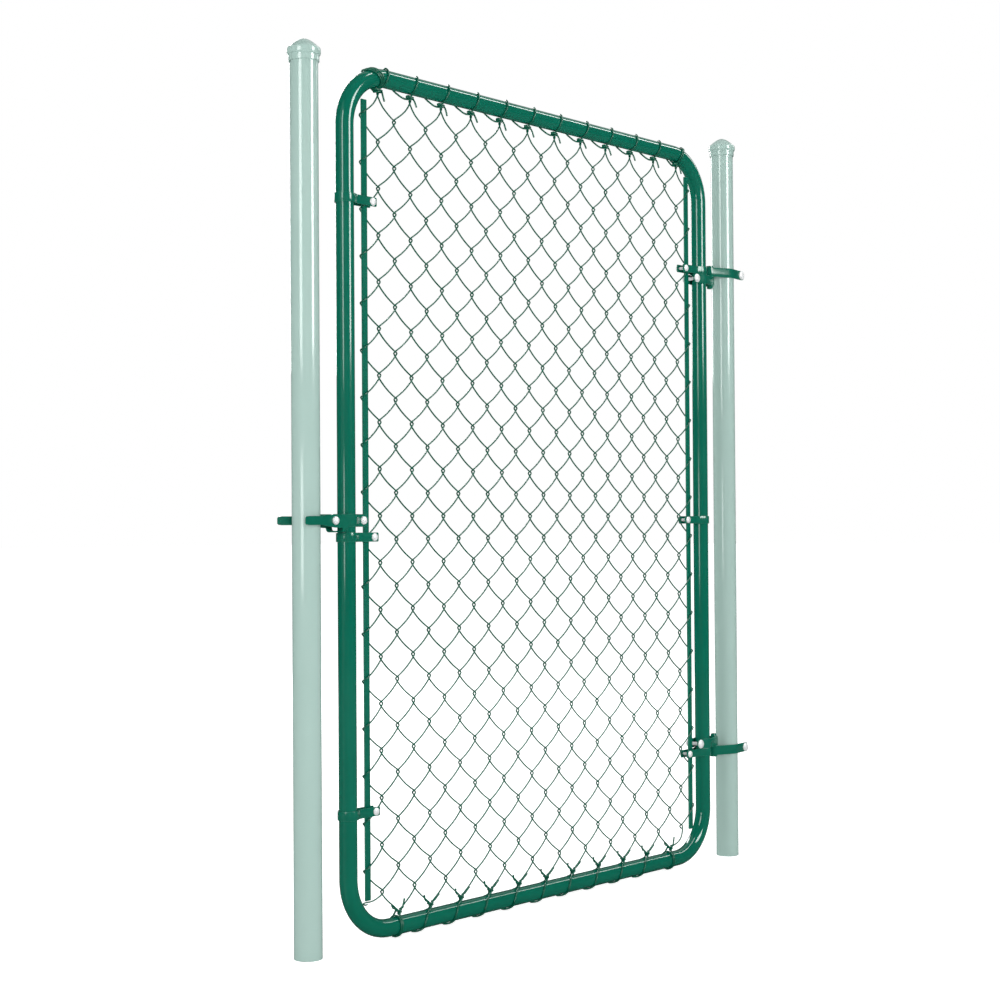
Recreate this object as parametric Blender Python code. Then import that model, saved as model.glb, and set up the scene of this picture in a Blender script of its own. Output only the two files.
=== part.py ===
"""A green chain link walk gate between its two posts.

Metres, +Z up. The origin is the centre of the hinge post's flat foot, the latch post
stands on the -X side, and the front of the gate faces -Y. The fabric is woven from
separate wires: each one is a flattened helix that hooks into the next.
"""

import math

import bmesh
import bpy
from mathutils import Vector

# Gate frame: one tube bent to a rounded rectangle
FRAME_WIDTH = 1.1038
FRAME_HEIGHT = 1.530
FRAME_TUBE = 0.0318
FRAME_BEND = 0.098
GROUND_CLEARANCE = 0.004
HINGE_GAP = 0.053
LATCH_GAP = 0.0549

# Posts: the hinge post ends above the top of the frame and the latch post below it
POST_DIAMETER = 0.0483
POST_WALL = 0.002
FOOT_THICKNESS = 0.004
HINGE_POST_RISE = 0.023
LATCH_POST_DROP = 0.003

# Post caps
CAP_HEIGHT = 0.0395
CAP_WALL = 0.003
CAP_SOCKET_DEPTH = 0.019
CAP_SKIRT_HEIGHT = 0.011
CAP_SKIRT_WALL = 0.0018
CAP_BEAD_HEIGHT = 0.0125
CAP_BEAD_DIAMETER = 0.058
CAP_DOME_DIAMETER = 0.053

# Chain link fabric and the bars that hold its edges
WIRE_DIAMETER = 0.003
MESH_SIZE = 0.0585
KNUCKLE_HEIGHT = 0.005
TOP_TWIST_DROP = 0.014
BOTTOM_TWIST_RISE = 0.010
TWIST_TAIL = 0.010
CORNER_GAP = 0.010
BAR_WIDTH = 0.0127
BAR_THICKNESS = 0.004
BAR_INSET = 0.047
BAR_END_GAP_TOP = 0.029
BAR_END_GAP_BOTTOM = 0.039

# Tension bands, each a strap round a stile with two ears
BAND_HEIGHT = 0.016
BAND_THICKNESS = 0.002
BAND_REACH = 0.070
BAND_EAR_START = 0.006
BAND_EAR_CORNER = 0.002
UPPER_BAND_FROM_TOP = 0.240
LOWER_BAND_FROM_BOTTOM = 0.225
MIDDLE_BAND_BELOW_LATCH = 0.029
BAND_FROM_STRAP = 0.0008
STRAP_MOUTH = 68.0

# Hinges: the upper pin points down and the lower one points up, so the gate can't lift off
UPPER_HINGE_FROM_TOP = 0.267
LOWER_HINGE_FROM_BOTTOM = 0.2405
HINGE_STRAP_HEIGHT = 0.020
HINGE_STRAP_THICKNESS = 0.0025
HINGE_PIN_DIAMETER = 0.0127
HINGE_PIN_HEAD = 0.003
HINGE_PIN_HEAD_DIAMETER = 0.0165
HINGE_PIN_TAIL = 0.006
PIN_CHAMFER = 0.0015
EYE_CLEARANCE = 0.0005
POST_STRAP_REACH = 0.051
GATE_STRAP_REACH = 0.0365
HINGE_EAR_LENGTH = 0.018
HINGE_EAR_PINCH = 0.005
HINGE_EAR_CORNER = 0.006

# Fork latch: a clamp round the stile, a fork that drops over the post, a bolt they turn on
LATCH_HEIGHT = 0.736
LATCH_STEEL = 0.0025
CLAMP_HEIGHT = 0.022
CLAMP_REACH = 0.046
CLAMP_EAR_GAP = 0.008
CLAMP_EAR_START = 0.008
CLAMP_EAR_CORNER = 0.003
PIVOT_FROM_POST = 0.048
PIVOT_DIAMETER = 0.008
PIVOT_HEAD_DIAMETER = 0.0145
PIVOT_HEAD_HEIGHT = 0.0045
PIVOT_NUT_DIAMETER = 0.014
PIVOT_NUT_HEIGHT = 0.006
PIVOT_THREAD_END = 0.002
PRONG_HEIGHT = 0.015
PRONG_SIDE_GAP = 0.0075
PRONG_OVERREACH = 0.009
PRONG_TIP_LENGTH = 0.009
PRONG_TIP_FLARE = 0.0015
TAPER_START = 0.044
TAPER_END = 0.017
CHEEK_RISE = 0.0095
CHEEK_DROP = 0.012
YOKE_START = 0.018
YOKE_DEPTH = 0.0202
YOKE_CORNER = 0.006

# The gap that touching pieces keep
FIT = 0.0003

# Sides of the round pieces, and steps in their bends
POST_SIDES = 24
CAP_SIDES = 20
TUBE_SIDES = 12
PIN_SIDES = 12
WIRE_SIDES = 3
BEND_STEPS = 6

# Places worked out from the sizes above
POST_RADIUS = POST_DIAMETER / 2
TUBE_RADIUS = FRAME_TUBE / 2
WIRE_RADIUS = WIRE_DIAMETER / 2
FRAME_BOTTOM_Z = GROUND_CLEARANCE
FRAME_TOP_Z = GROUND_CLEARANCE + FRAME_HEIGHT
HINGE_STILE_X = -(POST_RADIUS + HINGE_GAP + TUBE_RADIUS)
LATCH_STILE_X = HINGE_STILE_X - (FRAME_WIDTH - FRAME_TUBE)
LATCH_POST_X = LATCH_STILE_X - (TUBE_RADIUS + LATCH_GAP + POST_RADIUS)
HINGE_AXIS_X = -(POST_RADIUS + HINGE_GAP / 2)
RAIL_BOTTOM_Z = FRAME_BOTTOM_Z + TUBE_RADIUS
RAIL_TOP_Z = FRAME_TOP_Z - TUBE_RADIUS
HINGE_POST_TOP_Z = FRAME_TOP_Z + HINGE_POST_RISE
LATCH_POST_TOP_Z = FRAME_TOP_Z - LATCH_POST_DROP
UPPER_HINGE_Z = FRAME_TOP_Z - UPPER_HINGE_FROM_TOP
LOWER_HINGE_Z = FRAME_BOTTOM_Z + LOWER_HINGE_FROM_BOTTOM
CLAMP_HUG = TUBE_RADIUS + FIT + LATCH_STEEL / 2
CHEEK_Y = CLAMP_HUG + LATCH_STEEL + FIT
PIVOT = (LATCH_POST_X + PIVOT_FROM_POST, 0.0, LATCH_HEIGHT)

GREEN = (0.012, 0.130, 0.082, 1.0)
MINT = (0.400, 0.580, 0.510, 1.0)
ZINC = (0.750, 0.770, 0.780, 1.0)


def finish(name, colour, metallic=0.0, roughness=0.35):
    """A plain painted or plated finish."""
    material = bpy.data.materials.new(name)
    material.use_nodes = True
    shader = material.node_tree.nodes["Principled BSDF"]
    shader.inputs["Base Color"].default_value = colour
    shader.inputs["Metallic"].default_value = metallic
    shader.inputs["Roughness"].default_value = roughness
    return material


def mesh_from(name, points, faces):
    """A mesh with its faces turned outwards."""
    mesh = bpy.data.meshes.new(name)
    mesh.from_pydata([tuple(point) for point in points], [], faces)
    shape = bmesh.new()
    shape.from_mesh(mesh)
    bmesh.ops.recalc_face_normals(shape, faces=shape.faces)
    shape.to_mesh(mesh)
    shape.free()
    return mesh


def place(name, mesh, material, at=(0.0, 0.0, 0.0), turn=(0.0, 0.0, 0.0), pivot=None):
    """Put a mesh into the scene at a world place, under the empty it turns with."""
    mesh.materials.clear()
    mesh.materials.append(material)
    mesh.shade_smooth()
    mesh.set_sharp_from_angle(angle=math.radians(35))
    item = bpy.data.objects.new(name, mesh)
    bpy.context.scene.collection.objects.link(item)
    offset = Vector((0.0, 0.0, 0.0))
    if pivot:
        item.parent = pivot
        while pivot:
            offset += pivot.location
            pivot = pivot.parent
    item.location = Vector(at) - offset
    item.rotation_euler = turn
    return item


def helper(item):
    """Mark an object that only cuts or joins another one."""
    item.hide_render = True
    item.display_type = "WIRE"
    return item


def combine(item, other, operation):
    """Cut or join with a Boolean that stays on the object."""
    modifier = item.modifiers.new(other.name, "BOOLEAN")
    modifier.operation = operation
    modifier.solver = "EXACT"
    modifier.object = helper(other)


def turned(name, profile, sides):
    """Turn a profile of (radius, height) points round the Z axis."""
    shape = bmesh.new()
    verts = [shape.verts.new((radius, 0.0, height)) for radius, height in profile]
    edges = [shape.edges.new(pair) for pair in zip(verts, verts[1:])]
    bmesh.ops.spin(
        shape, geom=verts + edges, axis=(0, 0, 1), cent=(0, 0, 0),
        steps=sides, angle=2 * math.pi, use_merge=True,
    )
    bmesh.ops.remove_doubles(shape, verts=shape.verts, dist=1e-6)
    bmesh.ops.recalc_face_normals(shape, faces=shape.faces)
    mesh = bpy.data.meshes.new(name)
    shape.to_mesh(mesh)
    shape.free()
    return mesh


def slid_onto(points, along, through, normal):
    """Slide each point along a direction until it lies on a plane."""
    return [p + along * ((through - p).dot(normal) / along.dot(normal)) for p in points]


def swept(name, path, radius, sides, closed=False):
    """Carry a regular section along a path, with a mitre at each corner."""
    path = [Vector(point) for point in path]
    count = len(path)
    runs = [(path[(i + 1) % count] - path[i]).normalized() for i in range(count)]
    if not closed:
        runs[-1] = runs[-2]
    across = Vector((0.0, 1.0, 0.0))
    across = (across - runs[0] * across.dot(runs[0])).normalized()
    upright = runs[0].cross(across)
    ring = [
        path[0] + radius * (across * math.cos(angle) + upright * math.sin(angle))
        for angle in (2 * math.pi * side / sides for side in range(sides))
    ]
    if closed:
        ring = slid_onto(ring, runs[0], path[0], runs[0] + runs[-1])
    rings = [ring]
    for i in range(1, count):
        mitre = runs[i - 1] if not closed and i == count - 1 else runs[i - 1] + runs[i]
        rings.append(slid_onto(rings[-1], runs[i - 1], path[i], mitre))
    faces = []
    for i in range(count if closed else count - 1):
        low, high = i * sides, (i + 1) % count * sides
        for side in range(sides):
            after = (side + 1) % sides
            faces.append((low + side, low + after, high + after, high + side))
    if not closed:
        faces.append(tuple(range(sides)))
        faces.append(tuple(range((count - 1) * sides, count * sides)))
    return mesh_from(name, [point for ring in rings for point in ring], faces)


def ribbon(name, stations, thickness):
    """Bend a flat strap along stations of (x, y, low, high), seen from above."""
    places = [Vector((x, y)) for x, y, _, _ in stations]
    runs = [(b - a).normalized() for a, b in zip(places, places[1:])]
    points = []
    for i, (x, y, low, high) in enumerate(stations):
        before = runs[max(i - 1, 0)]
        after = runs[min(i, len(runs) - 1)]
        along = (before + after).normalized()
        side = Vector((-along.y, along.x)) * (thickness / 2 / along.dot(after))
        points += [
            (x + side.x, y + side.y, low), (x - side.x, y - side.y, low),
            (x - side.x, y - side.y, high), (x + side.x, y + side.y, high),
        ]
    faces = [(0, 1, 2, 3), tuple(range(len(points) - 4, len(points)))]
    for i in range(0, len(points) - 4, 4):
        for corner in range(4):
            after = (corner + 1) % 4
            faces.append((i + corner, i + after, i + 4 + after, i + 4 + corner))
    return mesh_from(name, points, faces)


def rounded_end(x, y, half, corner):
    """Stations at the free end of a strap, which points to +X and has rounded corners."""
    stations = []
    for angle in (math.radians(degrees) for degrees in (0, 45, 90)):
        rise = half - corner * (1 - math.sin(angle))
        stations.append((x - corner * (1 - math.cos(angle)), y, -rise, rise))
    return stations


def arc(centre, radius, first, last, steps, low, high):
    """Strap stations round a centre whose flats clear the radius. Angles in degrees."""
    step = math.radians((last - first) / steps)
    reach = radius / math.cos(step / 2)
    stations = []
    for i in range(steps + 1):
        angle = math.radians(first) + i * step
        stations.append((
            centre[0] + reach * math.cos(angle), centre[1] + reach * math.sin(angle), low, high,
        ))
    return stations


def cap_profile():
    """Outside and inside of a cap as (radius, height): a dome on a bead over a thin skirt."""
    socket = (POST_RADIUS + FIT) / math.cos(math.pi / CAP_SIDES)
    skirt = socket + CAP_SKIRT_WALL
    bead_swell = CAP_BEAD_DIAMETER / 2 - skirt
    bead_middle = CAP_SKIRT_HEIGHT + CAP_BEAD_HEIGHT / 2
    dome_foot = CAP_SKIRT_HEIGHT + CAP_BEAD_HEIGHT
    profile = [(0.0, CAP_HEIGHT)]
    for angle in (math.radians(degrees) for degrees in (70, 50, 30, 10)):
        rise = (CAP_HEIGHT - dome_foot) * math.sin(angle)
        profile.append((CAP_DOME_DIAMETER / 2 * math.cos(angle), dome_foot + rise))
    for angle in (math.radians(degrees) for degrees in (60, 20, -20, -60)):
        rise = CAP_BEAD_HEIGHT / 2 * math.sin(angle)
        profile.append((skirt + bead_swell * math.cos(angle), bead_middle + rise))
    profile += [(skirt, CAP_SKIRT_HEIGHT), (skirt, 0.0), (socket, 0.0), (socket, CAP_SOCKET_DEPTH)]
    for angle in (math.radians(degrees) for degrees in (0, 35, 65)):
        rise = (CAP_HEIGHT - CAP_WALL - CAP_SOCKET_DEPTH) * math.sin(angle)
        profile.append(((POST_RADIUS - POST_WALL) * math.cos(angle), CAP_SOCKET_DEPTH + rise))
    return profile + [(0.0, CAP_HEIGHT - CAP_WALL)]


def make_posts(mint):
    """The two tubular posts, each with a flat foot and a domed cap."""
    bore = POST_RADIUS - POST_WALL
    for name, x, top in (
        ("hinge_post", 0.0, HINGE_POST_TOP_Z), ("latch_post", LATCH_POST_X, LATCH_POST_TOP_Z),
    ):
        tube = [
            (0.0, 0.0), (POST_RADIUS, 0.0), (POST_RADIUS, top), (bore, top),
            (bore, FOOT_THICKNESS), (0.0, FOOT_THICKNESS),
        ]
        place(name, turned(name, tube, POST_SIDES), mint, at=(x, 0.0, 0.0))
        cap = name + "_cap"
        cap_z = top + FIT - CAP_SOCKET_DEPTH
        place(cap, turned(cap, cap_profile(), CAP_SIDES), mint, at=(x, 0.0, cap_z))


def make_frame(green, swing):
    """The bent tube of the gate, as one closed loop."""
    corners = (
        (LATCH_STILE_X, RAIL_BOTTOM_Z, 180), (HINGE_STILE_X, RAIL_BOTTOM_Z, 270),
        (HINGE_STILE_X, RAIL_TOP_Z, 0), (LATCH_STILE_X, RAIL_TOP_Z, 90),
    )
    middle_x = (LATCH_STILE_X + HINGE_STILE_X) / 2
    middle_z = (RAIL_BOTTOM_Z + RAIL_TOP_Z) / 2
    path = []
    for x, z, first in corners:
        centre_x = x + math.copysign(FRAME_BEND, middle_x - x)
        centre_z = z + math.copysign(FRAME_BEND, middle_z - z)
        for i in range(BEND_STEPS + 1):
            angle = math.radians(first + 90 * i / BEND_STEPS)
            path.append((
                centre_x + FRAME_BEND * math.cos(angle), 0.0,
                centre_z + FRAME_BEND * math.sin(angle),
            ))
    mesh = swept("gate_frame", path, TUBE_RADIUS, TUBE_SIDES, closed=True)
    place("gate_frame", mesh, green, pivot=swing)


def cut_short(start, end):
    """Draw the end of a wire back along its run until it clears the frame's corner bend."""
    centre_x = min(max(end.x, LATCH_STILE_X + FRAME_BEND), HINGE_STILE_X - FRAME_BEND)
    centre_z = min(max(end.z, RAIL_BOTTOM_Z + FRAME_BEND), RAIL_TOP_Z - FRAME_BEND)
    reach = FRAME_BEND - TUBE_RADIUS - CORNER_GAP
    from_centre = Vector((start.x - centre_x, 0.0, start.z - centre_z))
    run = Vector((end.x - start.x, 0.0, end.z - start.z))
    if (from_centre + run).length <= reach:
        return end
    slope = from_centre.dot(run) / run.length_squared
    spare = (reach ** 2 - from_centre.length_squared) / run.length_squared
    return start + (end - start) * (math.sqrt(slope ** 2 + spare) - slope)


def make_fabric(green, swing):
    """The woven wires, one object each, and the flat bars threaded through the edges."""
    bars = {"latch": LATCH_STILE_X + BAR_INSET, "hinge": HINGE_STILE_X - BAR_INSET}
    low = RAIL_BOTTOM_Z + TUBE_RADIUS + BAR_END_GAP_BOTTOM
    high = RAIL_TOP_Z - TUBE_RADIUS - BAR_END_GAP_TOP
    for side, x in bars.items():
        name = side + "_tension_bar"
        half = BAR_WIDTH / 2
        stations = [(x - half, 0.0, low, high), (x + half, 0.0, low, high)]
        place(name, ribbon(name, stations, BAR_THICKNESS), green, pivot=swing)

    hook = (WIRE_DIAMETER + FIT) / math.sqrt(2)
    depth = (WIRE_DIAMETER + FIT) / 2
    past_bar = BAR_WIDTH / 2 + FIT + WIRE_RADIUS
    first_x = bars["latch"] - past_bar + hook
    last_x = bars["hinge"] + past_bar - hook
    half_mesh = MESH_SIZE / math.sqrt(2)
    pickets = round((last_x - first_x) / half_mesh)
    pitch_x = (last_x - first_x) / pickets
    top_z = RAIL_TOP_Z - TUBE_RADIUS - TOP_TWIST_DROP
    bottom_z = RAIL_BOTTOM_Z + TUBE_RADIUS + BOTTOM_TWIST_RISE
    rows = round((top_z - bottom_z) / half_mesh)
    pitch_z = (top_z - bottom_z) / rows

    over_bar = (past_bar + BAR_WIDTH / 2) / (pitch_x + 2 * hook)
    beside_bar = BAR_THICKNESS / 2 + FIT + WIRE_RADIUS
    edge_depth = (beside_bar - depth * over_bar) / (1 - over_bar)

    for picket in range(pickets):
        path = []
        for row in range(rows + 1):
            at_right = (picket + row) % 2 == 0
            column = picket + 1 if at_right else picket
            x = first_x + column * pitch_x + (hook if at_right else -hook)
            z = top_z - row * pitch_z
            reach = edge_depth if column in (0, pickets) else depth
            arriving = Vector((x, reach if at_right else -reach, z + KNUCKLE_HEIGHT / 2))
            leaving = Vector((x, -arriving.y, z - KNUCKLE_HEIGHT / 2))
            path += [leaving] if row == 0 else [arriving, leaving]
        path.pop()
        path[0] += (path[0] - path[1]).normalized() * TWIST_TAIL
        path[-1] += (path[-1] - path[-2]).normalized() * TWIST_TAIL
        if picket in (0, pickets - 1):
            path[0] = cut_short(path[1], path[0])
            path[-1] = cut_short(path[-2], path[-1])
        name = f"picket_{picket + 1:02d}"
        place(name, swept(name, path, WIRE_RADIUS, WIRE_SIDES), green, pivot=swing)
    return edge_depth


def make_bands(green, swing, edge_depth):
    """Six straps that pull the tension bars towards the frame's stiles."""
    half = BAND_HEIGHT / 2
    hug = TUBE_RADIUS + FIT + BAND_THICKNESS / 2
    ear_y = edge_depth + WIRE_RADIUS + 2 * FIT + BAND_THICKNESS / 2
    ear_x = hug + BAND_EAR_START
    lean = math.degrees(math.atan2(hug - ear_y, ear_x))
    leaves = STRAP_MOUTH - lean
    path = rounded_end(BAND_REACH, -ear_y, half, BAND_EAR_CORNER)
    path.append((ear_x, -ear_y, -half, half))
    path += arc((0.0, 0.0), hug, -leaves, leaves - 360, 8, -half, half)
    path.append((ear_x, ear_y, -half, half))
    path += reversed(rounded_end(BAND_REACH, ear_y, half, BAND_EAR_CORNER))
    from_hinge = (BAND_HEIGHT - EYE_CLEARANCE) / 2 + BAND_FROM_STRAP
    latch_heights = (
        FRAME_TOP_Z - UPPER_BAND_FROM_TOP, LATCH_HEIGHT - MIDDLE_BAND_BELOW_LATCH,
        FRAME_BOTTOM_Z + LOWER_BAND_FROM_BOTTOM,
    )
    hinge_heights = (UPPER_HINGE_Z + from_hinge, LATCH_HEIGHT, LOWER_HINGE_Z - from_hinge)
    for side, x, turn, heights in (
        ("latch", LATCH_STILE_X, 0.0, latch_heights),
        ("hinge", HINGE_STILE_X, math.pi, hinge_heights),
    ):
        for level, z in zip(("upper", "middle", "lower"), heights):
            name = f"{level}_{side}_tension_band"
            mesh = ribbon(name, path, BAND_THICKNESS)
            place(name, mesh, green, at=(x, 0.0, z), turn=(0.0, 0.0, turn), pivot=swing)


def hinge_strap(name, hug, eye, spread, reach):
    """A strap bent round a pin, with two legs past a tube that lean in to their bolted ears.

    hug and eye are the radii of its middle line round the tube and the pin, spread is the
    distance between their axes, and the ears end at reach on the far side of the tube.
    """
    half = HINGE_STRAP_HEIGHT / 2
    taper = math.degrees(math.asin((hug - eye) / spread))
    ear_x = reach - HINGE_EAR_LENGTH
    ear_y = hug - HINGE_EAR_PINCH
    touch = math.degrees(math.atan2(ear_y, ear_x) + math.acos(hug / math.hypot(ear_x, ear_y)))
    path = rounded_end(reach, -ear_y, half, HINGE_EAR_CORNER)
    path.append((ear_x, -ear_y, -half, half))
    path += arc((0.0, 0.0), hug, -touch, -90 - taper, 2, -half, half)
    path += arc((-spread, 0.0), eye, -90 - taper, -270 + taper, 8, -half, half)
    path += arc((0.0, 0.0), hug, -270 + taper, touch - 360, 2, -half, half)
    path.append((ear_x, ear_y, -half, half))
    path += reversed(rounded_end(reach, ear_y, half, HINGE_EAR_CORNER))
    return ribbon(name, path, HINGE_STRAP_THICKNESS)


def make_hinges(green, swing):
    """Two strap hinges, each a strap on the post, a pin fixed in it and a strap on the gate."""
    steel = HINGE_STRAP_THICKNESS / 2
    pin = HINGE_PIN_DIAMETER / 2
    head = HINGE_PIN_HEAD_DIAMETER / 2
    step = HINGE_STRAP_HEIGHT + EYE_CLEARANCE
    seat = HINGE_STRAP_HEIGHT / 2 + FIT
    top = seat + HINGE_PIN_HEAD
    tail = HINGE_STRAP_HEIGHT / 2 + step + HINGE_PIN_TAIL
    for level, z, up in (("upper", UPPER_HINGE_Z, 1), ("lower", LOWER_HINGE_Z, -1)):
        post_z = z + up * step / 2
        name = level + "_hinge_post_strap"
        mesh = hinge_strap(
            name, POST_RADIUS + FIT + steel, pin + FIT + steel, -HINGE_AXIS_X, POST_STRAP_REACH,
        )
        place(name, mesh, green, at=(0.0, 0.0, post_z))
        name = level + "_hinge_gate_strap"
        mesh = hinge_strap(
            name, TUBE_RADIUS + FIT + steel, pin + EYE_CLEARANCE + steel,
            HINGE_AXIS_X - HINGE_STILE_X, GATE_STRAP_REACH,
        )
        place(
            name, mesh, green, at=(HINGE_STILE_X, 0.0, z - up * step / 2),
            turn=(0.0, 0.0, math.pi), pivot=swing,
        )
        name = level + "_hinge_pin"
        profile = [
            (0.0, top), (head - PIN_CHAMFER, top), (head, top - PIN_CHAMFER), (head, seat),
            (pin, seat), (pin, PIN_CHAMFER - tail), (pin - PIN_CHAMFER, -tail), (0.0, -tail),
        ]
        turn = (0.0, 0.0, 0.0) if up > 0 else (math.pi, 0.0, 0.0)
        place(
            name, turned(name, profile, PIN_SIDES), green,
            at=(HINGE_AXIS_X, 0.0, post_z), turn=turn,
        )


def pivot_cutter(name):
    """A rod across the gate that opens a hole for the pivot bolt."""
    radius = (PIVOT_DIAMETER / 2 + FIT) / math.cos(math.pi / PIN_SIDES)
    profile = [
        (0.0, -POST_DIAMETER), (radius, -POST_DIAMETER), (radius, POST_DIAMETER), (0.0, POST_DIAMETER),
    ]
    return place(
        name, turned(name, profile, PIN_SIDES), bpy.data.materials["zinc"],
        at=PIVOT, turn=(math.pi / 2, 0.0, 0.0),
    )


def make_clamp(green, swing):
    """The clamp round the latch stile: two plates with an arm for the pivot and a bolted ear."""
    steel = LATCH_STEEL / 2
    half = CLAMP_HEIGHT / 2
    to_pivot = PIVOT[0] - LATCH_STILE_X
    ear_y = CLAMP_EAR_GAP / 2 + steel
    ear_x = CLAMP_HUG + CLAMP_EAR_START
    lean = math.degrees(math.atan2(CLAMP_HUG - ear_y, ear_x))
    arm = []
    for angle in (math.radians(degrees) for degrees in (18, 42, 66, 90)):
        rise = half * math.sin(angle)
        arm.append((to_pivot - half * math.cos(angle), CLAMP_HUG, -rise, rise))
    path = arm + arc((0.0, 0.0), CLAMP_HUG, 90, STRAP_MOUTH - lean, 2, -half, half)
    path.append((ear_x, ear_y, -half, half))
    path += reversed(rounded_end(CLAMP_REACH, ear_y, half, CLAMP_EAR_CORNER))
    for side, sign in (("front", -1), ("rear", 1)):
        name = side + "_latch_clamp"
        mesh = ribbon(name, [(x, sign * y, low, high) for x, y, low, high in path], LATCH_STEEL)
        plate = place(name, mesh, green, at=(LATCH_STILE_X, 0.0, LATCH_HEIGHT), pivot=swing)
        combine(plate, pivot_cutter(side + "_clamp_hole"), "DIFFERENCE")


def make_fork(green, lift):
    """The fork: two prongs, a cheek outside each arm, and a yoke that stops at the stile."""
    steel = LATCH_STEEL / 2
    tall = PRONG_HEIGHT / 2
    prong_y = POST_RADIUS + PRONG_SIDE_GAP + steel
    tip_x = -PIVOT_FROM_POST - POST_RADIUS - PRONG_OVERREACH
    yoke_end = LATCH_STILE_X - TUBE_RADIUS - FIT - PIVOT[0]
    bend_z = steel + YOKE_CORNER - YOKE_DEPTH
    pieces = []
    for name, side in (("latch_fork", -1), ("rear_prong", 1)):
        flared_y = side * (prong_y + PRONG_TIP_FLARE)
        path = [
            (tip_x, flared_y, -tall * 0.6, tall * 0.6),
            (tip_x + tall * 0.3, flared_y, -tall * 0.9, tall * 0.9),
            (tip_x + PRONG_TIP_LENGTH, side * prong_y, -tall, tall),
            (-TAPER_START, side * prong_y, -tall, tall),
            (-TAPER_END, side * CHEEK_Y, -CHEEK_RISE, CHEEK_RISE),
            (0.0, side * CHEEK_Y, -CHEEK_DROP, CHEEK_RISE),
            (YOKE_START, side * CHEEK_Y, bend_z, CHEEK_RISE),
            (yoke_end, side * CHEEK_Y, bend_z, CHEEK_RISE - YOKE_CORNER),
        ]
        pieces.append(place(name, ribbon(name, path, LATCH_STEEL), green, at=PIVOT, pivot=lift))
    fork, rear = pieces
    combine(fork, rear, "UNION")
    bend_y = CHEEK_Y - YOKE_CORNER
    corner = [
        (bend_y + YOKE_CORNER * math.cos(angle), bend_z - YOKE_CORNER * math.sin(angle))
        for angle in (math.radians(degrees) for degrees in (0, 22.5, 45, 67.5, 90))
    ]
    outline = [(CHEEK_Y, -CHEEK_RISE)] + corner
    outline += [(-y, z) for y, z in reversed(outline)]
    stations = [(y, z, YOKE_START, yoke_end) for y, z in outline]
    yoke = place(
        "fork_yoke", ribbon("fork_yoke", stations, LATCH_STEEL), green,
        at=PIVOT, turn=(math.pi / 2, 0.0, math.pi / 2), pivot=lift,
    )
    combine(fork, yoke, "UNION")
    combine(fork, pivot_cutter("fork_hole"), "DIFFERENCE")


def make_pivot_bolt(zinc, swing):
    """The bolt that the fork turns on, through both cheeks and both arms."""
    rest = CHEEK_Y + LATCH_STEEL / 2 + FIT
    shank = PIVOT_DIAMETER / 2
    head = PIVOT_HEAD_DIAMETER / 2
    nut = PIVOT_NUT_DIAMETER / 2
    nut_end = rest + PIVOT_NUT_HEIGHT
    profile = [(0.0, rest + PIVOT_HEAD_HEIGHT)]
    for angle in (math.radians(degrees) for degrees in (60, 30, 0)):
        profile.append((head * math.cos(angle), rest + PIVOT_HEAD_HEIGHT * math.sin(angle)))
    profile += [
        (shank, rest), (shank, -rest), (nut, -rest), (nut, -nut_end), (shank, -nut_end),
        (shank, -nut_end - PIVOT_THREAD_END), (0.0, -nut_end - PIVOT_THREAD_END),
    ]
    name = "latch_pivot_bolt"
    place(
        name, turned(name, profile, PIN_SIDES), zinc, at=PIVOT,
        turn=(math.pi / 2, 0.0, 0.0), pivot=swing,
    )


def make_axis(name, at, parent=None):
    """An empty on a joint's axis."""
    empty = bpy.data.objects.new(name, None)
    bpy.context.scene.collection.objects.link(empty)
    empty.location = Vector(at) - (parent.location if parent else Vector((0.0, 0.0, 0.0)))
    empty.parent = parent
    return empty


def main():
    """Clear the scene and build the gate."""
    for item in list(bpy.data.objects):
        bpy.data.objects.remove(item, do_unlink=True)
    green = finish("green_coating", GREEN)
    mint = finish("mint_coating", MINT, roughness=0.3)
    zinc = finish("zinc", ZINC, metallic=1.0, roughness=0.3)
    swing = make_axis("gate_swing_axis", (HINGE_AXIS_X, 0.0, 0.0))
    lift = make_axis("latch_lift_axis", PIVOT, swing)
    make_posts(mint)
    make_frame(green, swing)
    edge_depth = make_fabric(green, swing)
    make_bands(green, swing, edge_depth)
    make_hinges(green, swing)
    make_clamp(green, swing)
    make_fork(green, lift)
    make_pivot_bolt(zinc, swing)


main()
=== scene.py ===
"""The looks of a green chain link walk gate that hangs between two pale posts.

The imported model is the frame. Its coarse solids are replaced by finer ones at the same
places: round tubes, woven wires, rolled steel straps, bolts, and the wire ties that hold
the fabric to the rails. Metres, +Z up, and the front of the gate faces -Y.
"""

from __future__ import annotations

import logging
import math
from dataclasses import dataclass, field
from enum import Enum

import bmesh
import bpy
import numpy as np
from mathutils import Matrix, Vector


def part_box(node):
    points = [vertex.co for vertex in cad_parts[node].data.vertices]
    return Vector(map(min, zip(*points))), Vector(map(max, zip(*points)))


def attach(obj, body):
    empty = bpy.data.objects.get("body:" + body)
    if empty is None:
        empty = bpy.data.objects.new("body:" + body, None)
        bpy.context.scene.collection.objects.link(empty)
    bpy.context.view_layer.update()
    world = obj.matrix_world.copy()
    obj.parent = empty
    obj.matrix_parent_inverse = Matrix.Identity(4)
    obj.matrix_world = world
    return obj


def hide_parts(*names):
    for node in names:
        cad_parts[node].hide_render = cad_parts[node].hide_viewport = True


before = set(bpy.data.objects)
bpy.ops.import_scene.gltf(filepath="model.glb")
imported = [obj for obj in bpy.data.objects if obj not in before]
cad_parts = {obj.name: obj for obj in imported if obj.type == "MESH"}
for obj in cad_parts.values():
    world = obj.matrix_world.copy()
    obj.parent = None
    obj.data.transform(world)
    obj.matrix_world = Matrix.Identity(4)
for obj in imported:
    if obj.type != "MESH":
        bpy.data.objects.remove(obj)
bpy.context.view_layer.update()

log = logging.getLogger("gate")
Array = np.ndarray
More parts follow.
